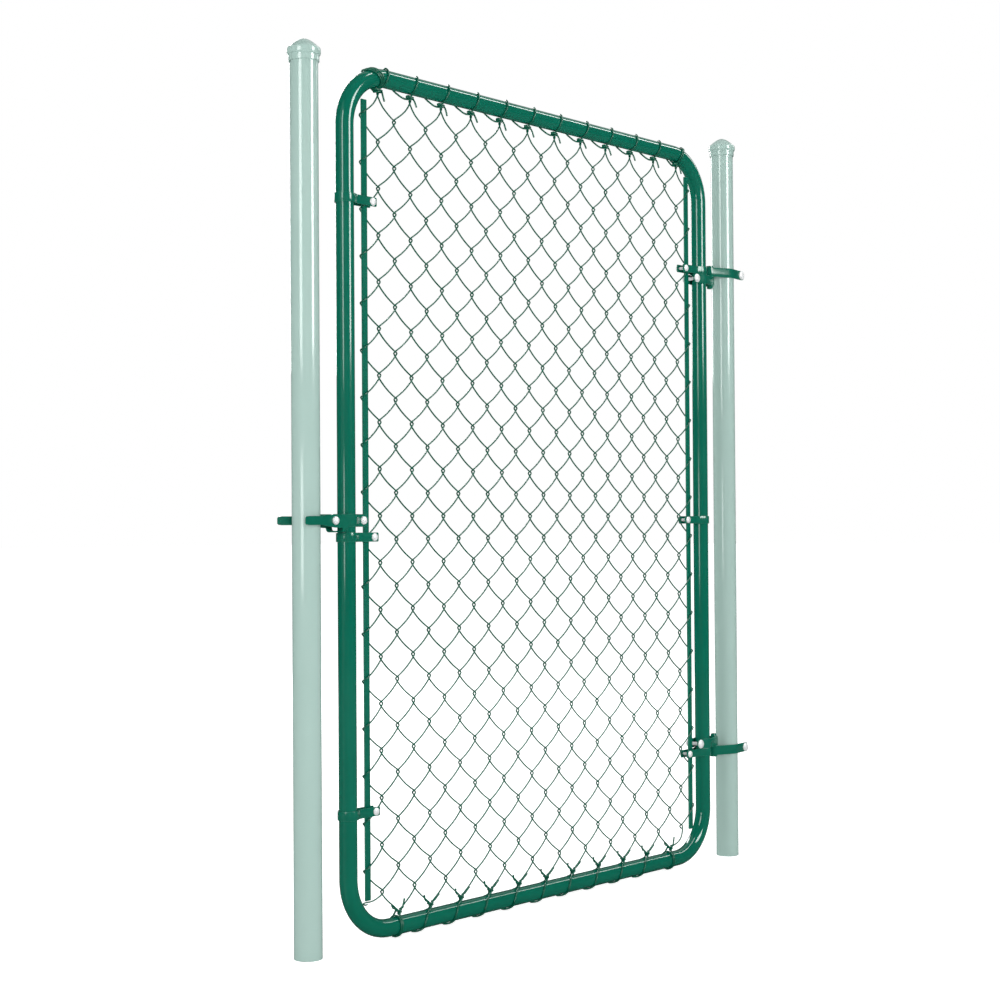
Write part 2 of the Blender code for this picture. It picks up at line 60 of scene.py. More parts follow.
MM = 0.001

# Sizes that several sub-assemblies share
TUBE = 31.8 * MM
TUBE_BEND = 98.0 * MM
PLAY = 0.3 * MM
ROLLED_EDGE = 0.4 * MM
# A cut wire narrows to CUT_RADIUS of its radius over CUT_LENGTH of its radius
CUT_LENGTH = 0.35
CUT_RADIUS = 0.6


class Body(Enum):
    """The bodies that move apart."""

    POSTS = "posts"
    GATE = "gate"
    LATCH = "latch_fork"


class Side(Enum):
    """The two stiles of the gate, with the way from the stile into the fabric."""

    LATCH = 1.0
    HINGE = -1.0

    @property
    def word(self) -> str:
        """The name's first word for this side."""
        return self.name.lower()


class Axis(Enum):
    """The three unit directions that a turned shape is built on: two across and one along."""

    UP = ((1, 0, 0), (0, 1, 0), (0, 0, 1))
    DOWN = ((1, 0, 0), (0, -1, 0), (0, 0, -1))
    FRONT = ((1, 0, 0), (0, 0, 1), (0, -1, 0))
    REAR = ((1, 0, 0), (0, 0, -1), (0, 1, 0))


# Shapes


@dataclass
class Shell:
    """A closed surface on a grid of points.

    Each row is a ring whose last point joins the first. The rows are joined in order, and
    then either the last row joins the first or both end rings are closed with one face.
    """

    grid: Array
    ring: bool = False
    # Share of painted highlight at each point, 1 on rounded edges
    edge_highlight: Array | None = None

    def faces(self) -> tuple[Array, list[list[int]]]:
        """Quads between the rows, and the two end faces, all of them facing outwards.

        The sign of the enclosed volume, the sum of the triple products of each triangle's
        corners over six, tells which way round the faces run.

        Returns:
            The quads as an array and the end faces as lists of point numbers.
        """
        rows, columns = self.grid.shape[:2]
        i = np.arange(rows if self.ring else rows - 1)[:, None]
        j = np.arange(columns)[None, :]
        above, beside = (i + 1) % rows, (j + 1) % columns
        here, over = i * columns, above * columns
        quads = np.stack([here + j, here + beside, over + beside, over + j], axis=-1).reshape(-1, 4)
        ends = []
        if not self.ring:
            first = np.arange(columns)
            ends = [first[::-1].tolist(), (first + (rows - 1) * columns).tolist()]
        points = self.grid.reshape(-1, 3) - self.grid.reshape(-1, 3).mean(axis=0)
        triangles = [quads[:, [0, 1, 2]], quads[:, [0, 2, 3]]]
        triangles += [
            np.stack([np.full(columns - 2, end[0]), end[1:-1], end[2:]], axis=1) for end in ends
        ]
        a, b, c = (points[np.concatenate(triangles)[:, k]] for k in range(3))
        if np.einsum("ij,ij->i", a, np.cross(b, c)).sum() < 0:
            quads = quads[:, ::-1]
            ends = [end[::-1] for end in ends]
        return quads, ends


def mesh_of(name: str, shells: list[Shell], sharp: float = 35.0) -> bpy.types.Mesh:
    """Put closed surfaces into one smooth mesh that keeps its sharp edges.

    Args:
        name: The mesh's name.
        shells: The surfaces.
        sharp: Edges that turn by more than this many degrees stay sharp.

    Returns:
        The mesh, with a point attribute that gives the share of painted highlight on rounded edges.
    """
    points, faces, start = [], [], 0
    for shell in shells:
        quads, ends = shell.faces()
        points.append(shell.grid.reshape(-1, 3))
        faces += (quads + start).tolist() + [[k + start for k in end] for end in ends]
        start += len(points[-1])
    mesh = bpy.data.meshes.new(name)
    mesh.from_pydata(np.concatenate(points).tolist(), [], faces)
    edge_highlight = [
        np.zeros(s.grid.shape[:2]) if s.edge_highlight is None else np.broadcast_to(s.edge_highlight, s.grid.shape[:2])
        for s in shells
    ]
    # The point attribute carries where the painted edge highlight goes
    layer = mesh.attributes.new("edge_highlight", "FLOAT", "POINT")
    layer.data.foreach_set("value", np.concatenate([w.ravel() for w in edge_highlight]).astype(np.float32))
    mesh.shade_smooth()
    mesh.set_sharp_from_angle(angle=math.radians(sharp))
    return mesh


def unit(vectors: Array) -> Array:
    """Scale each vector to length one."""
    return vectors / np.linalg.norm(vectors, axis=-1, keepdims=True)


def wire(path: Array, radius: float, sides: int = 8, ring: bool = False) -> Shell:
    """A round wire along a path.

    Each point is path + radius * (across * cos(angle) + over * sin(angle)). Across is at
    right angles to the run and to the one fixed direction that the run is never close to.

    Args:
        path: Points of the middle line, one a row.
        radius: Half the wire's thickness.
        sides: Points round the wire.
        ring: True if the path's end joins its start.

    Returns:
        The surface, with its cut ends slightly rounded.
    """
    if ring:
        run = unit(np.roll(path, -1, axis=0) - np.roll(path, 1, axis=0))
    else:
        head = unit(path[1] - path[0]) * radius * CUT_LENGTH
        tail = unit(path[-2] - path[-1]) * radius * CUT_LENGTH
        path = np.vstack([path[:1], path[:1] + head, path[1:-1], path[-1:] + tail, path[-1:]])
        run = unit(np.gradient(path, axis=0))
    radii = np.full(len(path), radius)
    if not ring:
        radii[[0, -1]] *= CUT_RADIUS
    # The directions to choose from are a grid of points, none of them at the origin
    steps = np.linspace(-1, 1, 5)
    choices = unit(np.stack(np.meshgrid(steps, steps, steps), axis=-1).reshape(-1, 3) + 1e-3)
    fixed = choices[np.abs(choices @ run.T).max(axis=1).argmin()]
    across = unit(np.cross(run, fixed))
    over = np.cross(run, across)
    angle = np.linspace(0, 2 * np.pi, sides, endpoint=False)[None, :, None]
    spokes = across[:, None] * np.cos(angle) + over[:, None] * np.sin(angle)
    return Shell(path[:, None] + spokes * radii[:, None, None], ring)


def curve(points: Array, steps: int = 6) -> Array:
    """A smooth curve through points.

    Between two points it is the cubic whose slope at each point is half the way from the
    point before it to the point after it.

    Args:
        points: The points, one a row.
        steps: Steps between two points.

    Returns:
        The curve's points.
    """
    p = np.vstack([2 * points[0] - points[1], points, 2 * points[-1] - points[-2]])[:, None]
    t = (np.arange(steps) / steps)[None, :, None]
    before, start, end, after = p[:-3], p[1:-2], p[2:-1], p[3:]
    spans = start + 0.5 * t * (
        end - before
        + t * (2 * before - 5 * start + 4 * end - after + t * (3 * (start - end) + after - before))
    )
    return np.vstack([spans.reshape(-1, 3), points[-1:]])


def turned(profile: Array, at: Array, axis: Axis = Axis.UP, sides: int = 32) -> Shell:
    """A shape turned on a lathe.

    Each point is at + radius * (first * cos(angle) + second * sin(angle)) + height * third,
    where the three are the axis's directions.

    Args:
        profile: Radius and height, one pair a row.
        at: Where height 0 of the axis is.
        axis: Which way the axis points.
        sides: Points round the shape.

    Returns:
        The surface, closed flat at its first and last ring.
    """
    first, second, third = (np.array(way, float) for way in axis.value)
    angle = np.linspace(0, 2 * np.pi, sides, endpoint=False)[None, :, None]
    radius, height = profile[:, 0][:, None, None], profile[:, 1][:, None, None]
    spokes = first * np.cos(angle) + second * np.sin(angle)
    return Shell(np.asarray(at, float) + radius * spokes + height * third)


def bowl(foot: tuple[float, float], top: float, steps: int) -> Array:
    """The profile of a round dome, a quarter of (r/R)**2 + (z/H)**2 = 1.

    Args:
        foot: Radius and height of the dome's rim.
        top: Height of the dome's top.
        steps: Number of points.

    Returns:
        Radius and height from the rim to just beside the axis.
    """
    nearly_all = 0.985
    turn = np.linspace(0, np.pi / 2 * nearly_all, steps)
    return np.stack([foot[0] * np.cos(turn), foot[1] + (top - foot[1]) * np.sin(turn)], axis=1)


def crown(foot: tuple[float, float], top: float, steps: int) -> Array:
    """The profile of a pressed crown, whose height falls as (r/R)**power from its middle.

    A power of 2 would be a shallow dome and 1 a cone.

    Args:
        foot: Radius and height of the crown's rim.
        top: Height of its middle.
        steps: Number of points.

    Returns:
        Radius and height from the rim to just beside the axis.
    """
    power, nearest = 1.7, 0.02
    share = np.linspace(1, nearest, steps)
    return np.stack([foot[0] * share, foot[1] + (top - foot[1]) * (1 - share ** power)], axis=1)


def strap(stations: Array, thickness: float, edge: float = ROLLED_EDGE) -> Shell:
    """A flat strap on edge, bent along its way as seen from above.

    The section at a station is a rectangle with rounded edges, as thick as the strap and
    from low to high. It stands across the half-way direction of the two runs that meet.

    Args:
        stations: x, y, low, high and inset, one station a row. The inset shrinks a section.
        thickness: The strap's thickness.
        edge: Radius of its rounded edges.

    Returns:
        The surface. Its point values are 1 on the rounded edges, where a painted highlight goes.
    """
    places = stations[:, :2]
    runs = unit(np.diff(places, axis=0))
    before, after = np.vstack([runs[:1], runs]), np.vstack([runs, runs[-1:]])
    along = unit(before + after)
    side = np.stack([-along[:, 1], along[:, 0]], axis=1)
    side /= np.einsum("ij,ij->i", along, after)[:, None]
    low, high, inset = (stations[:, k][:, None] for k in (2, 3, 4))
    least = 0.02 * MM
    bend = np.maximum(edge - inset, least)
    angle = np.radians([-90, -45, 0, 0, 45, 90, 90, 135, 180, 180, 225, 270])[None, :]
    outward = np.repeat([1, -1], 6)[None, :]
    is_low = np.repeat([True, False, True], [3, 6, 3])[None, :]
    sideways = outward * (thickness / 2 - inset - bend) + bend * np.cos(angle)
    level = np.where(is_low, low + inset + bend, high - inset - bend) + bend * np.sin(angle)
    flat = places[:, None] + side[:, None] * sideways[:, :, None]
    grid = np.concatenate([flat, level[:, :, None]], axis=2)
    # Painted highlight on the rounded edges
    edge_highlight = np.tile([0, 1, 0] * 4, (len(stations), 1))
    return Shell(grid, edge_highlight=edge_highlight)


def stations_of(places: Array, low: float, high: float) -> Array:
    """Strap stations from low to high at places seen from above, with no inset."""
    rest = np.tile([low, high, 0.0], (len(places), 1))
    return np.hstack([places, rest])


def arc(centre: tuple[float, float], radius: float, first: float, last: float, steps: int) -> Array:
    """Places along a circle whose chords stay outside the radius.

    Each is centre + reach * (cos(angle), sin(angle)), where reach is the radius over the
    cosine of half a step.

    Args:
        centre: The circle's centre.
        radius: Its radius.
        first: Angle of the first place in degrees.
        last: Angle of the last place.
        steps: Number of chords.

    Returns:
        x and y, one place a row.
    """
    step = math.radians((last - first) / steps)
    angle = np.radians(first) + step * np.arange(steps + 1)
    reach = radius / math.cos(step / 2)
    return np.stack([centre[0] + reach * np.cos(angle), centre[1] + reach * np.sin(angle)], axis=1)


def eased(stations: Array, passes: int = 2) -> Array:
    """Round a strap's bends: each pass cuts a quarter off both ends of every run.

    Args:
        stations: The strap's stations.
        passes: How often the corners are cut.

    Returns:
        The stations, with the first and the last one kept.
    """
    for _ in range(passes):
        a, b = stations[:-1], stations[1:]
        cut = np.stack([a * 0.75 + b * 0.25, a * 0.25 + b * 0.75], axis=1).reshape(-1, a.shape[1])
        stations = np.vstack([stations[:1], cut, stations[-1:]])
    return stations


def tongue(end_x: float, y: float, half: float, corner: float) -> Array:
    """Stations of a strap's free end towards +X.

    Args:
        end_x: Where it ends.
        y: The strap's middle.
        half: Half the strap's height.
        corner: Radius of the end's two corners.

    Returns:
        Stations from the end inwards.
    """
    turn = np.linspace(0, np.pi / 2, 7)
    x = end_x - ROLLED_EDGE - corner * (1 - np.cos(turn))
    rise = half - corner * (1 - np.sin(turn))
    body = np.stack([x, np.full_like(turn, y), -rise, rise, np.zeros_like(turn)], axis=1)
    return np.vstack([[end_x, y, corner - half, half - corner, ROLLED_EDGE], body])


def eared(bends: Array, reach: float, ear_y: float, half: float, corner: float) -> Array:
    """Stations of a strap with one ear in front and one behind, both towards +X.

    Args:
        bends: Places of its way between the ears, as seen from above.
        reach: x of the ears' ends.
        ear_y: Distance of the ears' middles from the middle plane.
        half: Half the strap's height.
        corner: Radius of the ears' corners.

    Returns:
        Stations from the front ear's end to the rear ear's.
    """
    inner = reach - corner - 1 * MM
    way = np.vstack([[(inner, -ear_y)], bends, [(inner, ear_y)]])
    return np.vstack([
        tongue(reach, -ear_y, half, corner),
        eased(stations_of(way, -half, half)),
        tongue(reach, ear_y, half, corner)[::-1],
    ])


def placed(stations: Array, at: tuple[float, float, float], way: float = 1.0) -> Array:
    """Move stations to a place.

    Args:
        stations: The strap's stations.
        at: Where their origin goes.
        way: 1 as they are, or -1 to turn them half round first.

    Returns:
        The moved stations.
    """
    moved = stations.copy()
    moved[:, :2] = moved[:, :2] * way + at[:2]
    moved[:, 2:4] += at[2]
    return moved


# Finishes


def linear(colour: str) -> tuple[float, float, float, float]:
    """Turn an sRGB hex colour into a linear one.

    Args:
        colour: A number sign and six hex digits.

    Returns:
        Red, green, blue and alpha.
    """
    parts = [int(colour[k : k + 2], 16) / 255 for k in (1, 3, 5)]
    red, green, blue = (
        part / 12.92 if part <= 0.04045 else ((part + 0.055) / 1.055) ** 2.4 for part in parts
    )
    return red, green, blue, 1.0


def feed(tree: bpy.types.NodeTree, node: bpy.types.Node, links: dict) -> None:
    """Set the sockets of a node.

    Args:
        tree: The node tree.
        node: The node.
        links: Socket name or number to a value, or to the output that feeds it.
    """
    for key, value in links.items():
        if isinstance(value, bpy.types.NodeSocket):
            tree.links.new(value, node.inputs[key])
        else:
            node.inputs[key].default_value = value


def add(
    tree: bpy.types.NodeTree, kind: str, links: dict | None = None, **settings: str,
) -> bpy.types.Node:
    """Add a node with its settings and links.

    Args:
        tree: The node tree.
        kind: The node's type.
        links: Socket name or number to a value, or to the output that feeds it.
        settings: The node's own properties.

    Returns:
        The node.
    """
    node = tree.nodes.new(kind)
    for key, value in settings.items():
        setattr(node, key, value)
    feed(tree, node, links or {})
    return node


def per_metre(millimetres: float) -> float:
    """The scale that gives a pattern this grain size on object coordinates."""
    return 1 / (millimetres * MM)


# A Mix node has one set of sockets a data type, so those of its colours go by their numbers
FIRST, SECOND, MIXED = 6, 7, 2


@dataclass(frozen=True)
class Finish:
    """What all finishes have: two tones in patches, a gloss that goes with them, and a grain.

    A pattern's scale comes from its size in mm, and haze is what the palest patches add to
    the roughness.
    """

    name: str
    slot: str
    colour: str
    deep: str
    roughness: float
    haze: float
    patch_mm: float
    patch_noise: tuple[float, float]
    patch_range: tuple[float, float]
    grain_mm: float
    grain_depth: float
    grain_detail: float
    grain_strength: float

    def build(self) -> bpy.types.Material:
        """Make the material.

        Returns:
            The material, with its nodes linked to its shader.
        """
        material = bpy.data.materials.new(self.name)
        material.use_nodes = True
        tree = material.node_tree
        place = add(tree, "ShaderNodeTexCoord").outputs["Object"]
        feed(tree, tree.nodes["Principled BSDF"], self.sockets(tree, place))
        return material

    def sockets(self, tree: bpy.types.NodeTree, place: bpy.types.NodeSocket) -> dict:
        """Add the patches and the grain.

        Args:
            tree: The material's node tree.
            place: The output that gives the place on the object.

        Returns:
            The shader's socket names with what each is set to or fed by.
        """
        detail, roughness = self.patch_noise
        patch = add(
            tree, "ShaderNodeTexNoise",
            {"Vector": place, "Scale": per_metre(self.patch_mm), "Detail": detail,
             "Roughness": roughness},
        ).outputs["Fac"]
        tone = add(
            tree, "ShaderNodeMix",
            {"Factor": patch, FIRST: linear(self.deep), SECOND: linear(self.colour)},
            data_type="RGBA",
        )
        gloss = add(
            tree, "ShaderNodeMapRange",
            {"Value": patch, "From Min": self.patch_range[0], "From Max": self.patch_range[1],
             "To Min": self.roughness, "To Max": self.roughness + self.haze},
        )
        grain = add(
            tree, "ShaderNodeTexNoise",
            {"Vector": place, "Scale": per_metre(self.grain_mm), "Detail": self.grain_detail},
        )
        bump = add(
            tree, "ShaderNodeBump",
            {"Height": grain.outputs["Fac"], "Strength": self.grain_strength,
             "Distance": self.grain_depth},
        )
        return {
            "Base Color": tone.outputs[MIXED], "Roughness": gloss.outputs["Result"],
            "Normal": bump.outputs["Normal"],
        }


@dataclass(frozen=True)
class Coating(Finish):
    """A polymer coat on steel, sprayed or extruded, then cured glossy.

    The eye sees one even colour with a faint orange peel that breaks up long highlights,
    a painted highlight in patches along the rounded edges, and cloudy patches of softer gloss.
    """

    # The colour of the painted highlight on the rounded edges
    edge: str = field(kw_only=True)
    coat: float = 0.2
    coat_roughness: float = 0.08
    # Grain size of the patches that break up the painted edge highlight
    highlight_patch_mm: float = 9.0
    patch_mm: float = 140.0
    patch_noise: tuple[float, float] = (4.0, 0.55)
    patch_range: tuple[float, float] = (0.35, 0.65)
    grain_mm: float = 6.0
    grain_depth: float = 0.01 * MM
    grain_detail: float = 1.0
    grain_strength: float = 0.6

    def sockets(self, tree: bpy.types.NodeTree, place: bpy.types.NodeSocket) -> dict:
        """Add the painted highlight on the rounded edges and the clear top of the coat.

        Args:
            tree: The material's node tree.
            place: The output that gives the place on the object.

        Returns:
            The shader's socket names with what each is set to or fed by.
        """
        feeds = super().sockets(tree, place)
        # A painted highlight on the rounded edges, broken up into patches by noise
        fine = add(
            tree, "ShaderNodeTexNoise",
            {"Vector": place, "Scale": per_metre(self.highlight_patch_mm), "Detail": 3.0, "Roughness": 0.6},
        )
        edge_highlight = add(tree, "ShaderNodeAttribute", attribute_name="edge_highlight")
        highlight_share = add(
            tree, "ShaderNodeMath", {0: edge_highlight.outputs["Fac"], 1: fine.outputs["Fac"]},
            operation="MULTIPLY",
        )
        highlighted = add(
            tree, "ShaderNodeMix",
            {"Factor": highlight_share.outputs[0], FIRST: feeds["Base Color"], SECOND: linear(self.edge)},
            data_type="RGBA",
        )
        feeds["Base Color"] = highlighted.outputs[MIXED]
        feeds["Coat Weight"] = self.coat
        feeds["Coat Roughness"] = self.coat_roughness
        return feeds


@dataclass(frozen=True)
class Plating(Finish):
    """Zinc plate on cold-headed steel.

    The eye sees a cool white that stays white in shade too, because the plate's fine bloom
    scatters light, over a faint satin sheen of the metal.
    """

    metal: float = 0.25

    def sockets(self, tree: bpy.types.NodeTree, place: bpy.types.NodeSocket) -> dict:
        """Add the metal's share to what Finish.sockets gives, with the same arguments."""
        return super().sockets(tree, place) | {"Metallic": self.metal}


# Sprayed and baked on the tube: a hard gloss with narrow bright highlights
TUBE_GREEN = Coating(
    "green_powder_coat", "green_coating", "#066C57", "#045E4A", roughness=0.09, haze=0.04,
    edge="#3D9C7F",
)
# The same on stamped straps and bars, a little softer, with a painted highlight on the rounded
# edges
STRAP_GREEN = Coating(
    "green_coated_steel_strap", "green_coating", "#066B56", "#045C48", roughness=0.12, haze=0.06,
    edge="#6CC0A6", grain_mm=4.0,
)
# Vinyl drawn round the wire: a darker green whose soft gloss spreads the light
WIRE_GREEN = Coating(
    "green_vinyl_coated_wire", "green_coating", "#066048", "#045240", roughness=0.26, haze=0.08,
    edge="#066048", grain_depth=0.02 * MM, coat=0.0,
)
# The frame's spray in a pale mint, so that only the highlights stand out from it
POST_MINT = Coating(
    "mint_powder_coat", "mint_coating", "#A8C1BA", "#A3BEB6", roughness=0.09, haze=0.04,
    edge="#C0D6CE",
)
BOLT_ZINC = Plating(
    "bright_zinc_plate", "zinc", "#F4F6F6", "#E2E6E7", roughness=0.46, haze=-0.12,
    patch_mm=5.0, patch_noise=(3.0, 0.6), patch_range=(0.3, 0.7),
    grain_mm=0.5, grain_depth=0.03 * MM, grain_detail=2.0, grain_strength=0.4,
)


class Paint:
    """Makes each finish once and hands out its material."""

    def __init__(self) -> None:
        """Start with no material made."""
        self.made: dict[str, bpy.types.Material] = {}

    def of(self, finish: Finish) -> bpy.types.Material:
        """The material of a finish."""
        if finish.name not in self.made:
            self.made[finish.name] = finish.build()
        return self.made[finish.name]


PAINT = Paint()


def fit(
    name: str, shells: list[Shell], finish: Finish, body: Body,
    stands_for: tuple[str, ...] = (), sharp: float = 35.0,
) -> bpy.types.Object:
    """Make a piece of the gate from closed surfaces.

    Args:
        name: The piece's name.
        shells: Its surfaces, already in place.
        finish: Its finish.
        body: The body that it moves with.
        stands_for: CAD nodes that it replaces.
        sharp: Edges that turn by more than this many degrees stay sharp.

    Returns:
        The piece.
    """
    return join_frame(name, mesh_of(name, shells, sharp), finish, body, stands_for)


def join_frame(
    name: str, mesh: bpy.types.Mesh, finish: Finish, body: Body,
    stands_for: tuple[str, ...] = (),
) -> bpy.types.Object:
    """Give a mesh its finish, its body and the nodes it stands for.

    Args:
        name: The piece's name.
        mesh: Its mesh, already in place.
        finish: Its finish.
        body: The body that it moves with.
        stands_for: CAD nodes that it replaces.

    Returns:
        The piece.
    """
    mesh.materials.clear()
    mesh.materials.append(PAINT.of(finish))
    item = bpy.data.objects.new(name, mesh)
    bpy.context.scene.collection.objects.link(item)
    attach(item, body.value)
    if stands_for:
        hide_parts(*stands_for)
    log.info("%s: %d faces", name, len(mesh.polygons))
    return item


def corners(node: str) -> tuple[Array, Array]:
    """Lowest and highest corner of a CAD node as arrays."""
    low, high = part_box(node)
    return np.array(low), np.array(high)


def middle(node: str) -> Array:
    """Centre of a CAD node's box."""
    low, high = corners(node)
    return (low + high) / 2


# Sub-assemblies


@dataclass
class Post:
    """A steel tube with a flat foot and a pressed cap."""

    node: str
    wall: float = 2.0 * MM
    foot: float = 4.0 * MM
    chamfer: float = 0.8 * MM
    cap_play: float = 0.4 * MM
    cap_edge: float = 0.5 * MM
    cap_steel: float = 3.0 * MM
    skirt_wall: float = 1.8 * MM
    skirt: float = 11.0 * MM
    bead: float = 12.5 * MM
    bead_power: float = 0.6
    socket: float = 19.0 * MM
    dome: float = 26.2 * MM
    sides: int = 72

    def build(self) -> None:
        """Make the tube and its cap."""
        low, high = corners(self.node)
        centre = np.array([(low[0] + high[0]) / 2, (low[1] + high[1]) / 2, 0.0])
        radius = (high[0] - low[0]) / 2
        bore, top = radius - self.wall, high[2]
        bulge = self.chamfer * 0.3
        # The rows just inside both ends keep the long wall's shading level
        profile = np.array([
            (radius - self.chamfer, 0.0), (radius - bulge, bulge), (radius, self.chamfer),
            (radius, 3 * self.chamfer), (radius, top - self.chamfer),
            (radius, top), (bore, top), (bore, self.foot),
        ])
        tube = turned(profile, centre, sides=self.sides)
        fit(self.node + "_tube", [tube], POST_MINT, Body.POSTS, (self.node,))
        self.cap(centre, radius)

    def cap(self, centre: Array, radius: float) -> None:
        """Make the domed cap: a dome that rises from a rolled bead over a straight skirt.

        The bead's radius is skirt + swell * cos(turn)**power while its height goes with
        1 + sin(turn), and both domes are crowns.

        Args:
            centre: The post's centre at its foot.
            radius: The post's radius.
        """
        low, high = corners(self.node + "_cap")
        tall = high[2] - low[2]
        inside = radius + self.cap_play
        skirt = inside + self.skirt_wall
        swell = (high[0] - low[0]) / 2 - skirt
        step, lip = 0.3 * MM, 0.4 * MM
        turn = np.radians(np.linspace(-88, 88, 14))
        bead = np.stack([
            skirt + swell * np.cos(turn) ** self.bead_power,
            self.skirt + self.bead / 2 * (1 + np.sin(turn)),
        ], axis=1)
        outside = np.vstack([
            [(skirt - self.cap_edge, 0.0), (skirt, self.cap_edge), (skirt, self.skirt - lip)],
            bead,
            crown((self.dome, self.skirt + self.bead + step), tall, 16),
        ])
        # The inside runs from the middle of the dome down to the skirt's edge
        under = crown((radius - self.wall, self.socket), tall - self.cap_steel, 8)[::-1]
        inner = np.vstack([under, [(inside, self.socket), (inside, lip)]])
        grid = turned(np.vstack([inner, outside]), centre + [0, 0, low[2]], sides=self.sides)
        fit(self.node + "_cap_pressing", [grid], POST_MINT, Body.POSTS, (self.node + "_cap",))


@dataclass
class GateFrame:
    """The gate's frame, one tube bent to a rounded rectangle."""

    tube: float = TUBE
    bend: float = TUBE_BEND
    steps: int = 24
    sides: int = 40

    def middle_line(self) -> Array:
        """The tube's middle line: four quarter circles joined by straight runs.

        Returns:
            Its points in order, one a row, without the first one again at the end.
        """
        low, high = corners("gate_frame")
        inset = self.tube / 2 + self.bend
        turn = np.linspace(0, np.pi / 2, self.steps + 1)
        loops = []
        for x, z, first in (
            (high[0] - inset, high[2] - inset, 0.0), (low[0] + inset, high[2] - inset, 0.5),
            (low[0] + inset, low[2] + inset, 1.0), (high[0] - inset, low[2] + inset, 1.5),
        ):
            angle = turn + first * np.pi
            loops.append(np.stack([
                x + self.bend * np.cos(angle), np.zeros_like(angle), z + self.bend * np.sin(angle),
            ], axis=1))
        return np.vstack(loops)

    def build(self) -> None:
        """Make the tube."""
        shell = wire(self.middle_line(), self.tube / 2, self.sides, ring=True)
        fit("gate_frame_tube", [shell], TUBE_GREEN, Body.GATE, ("gate_frame",))


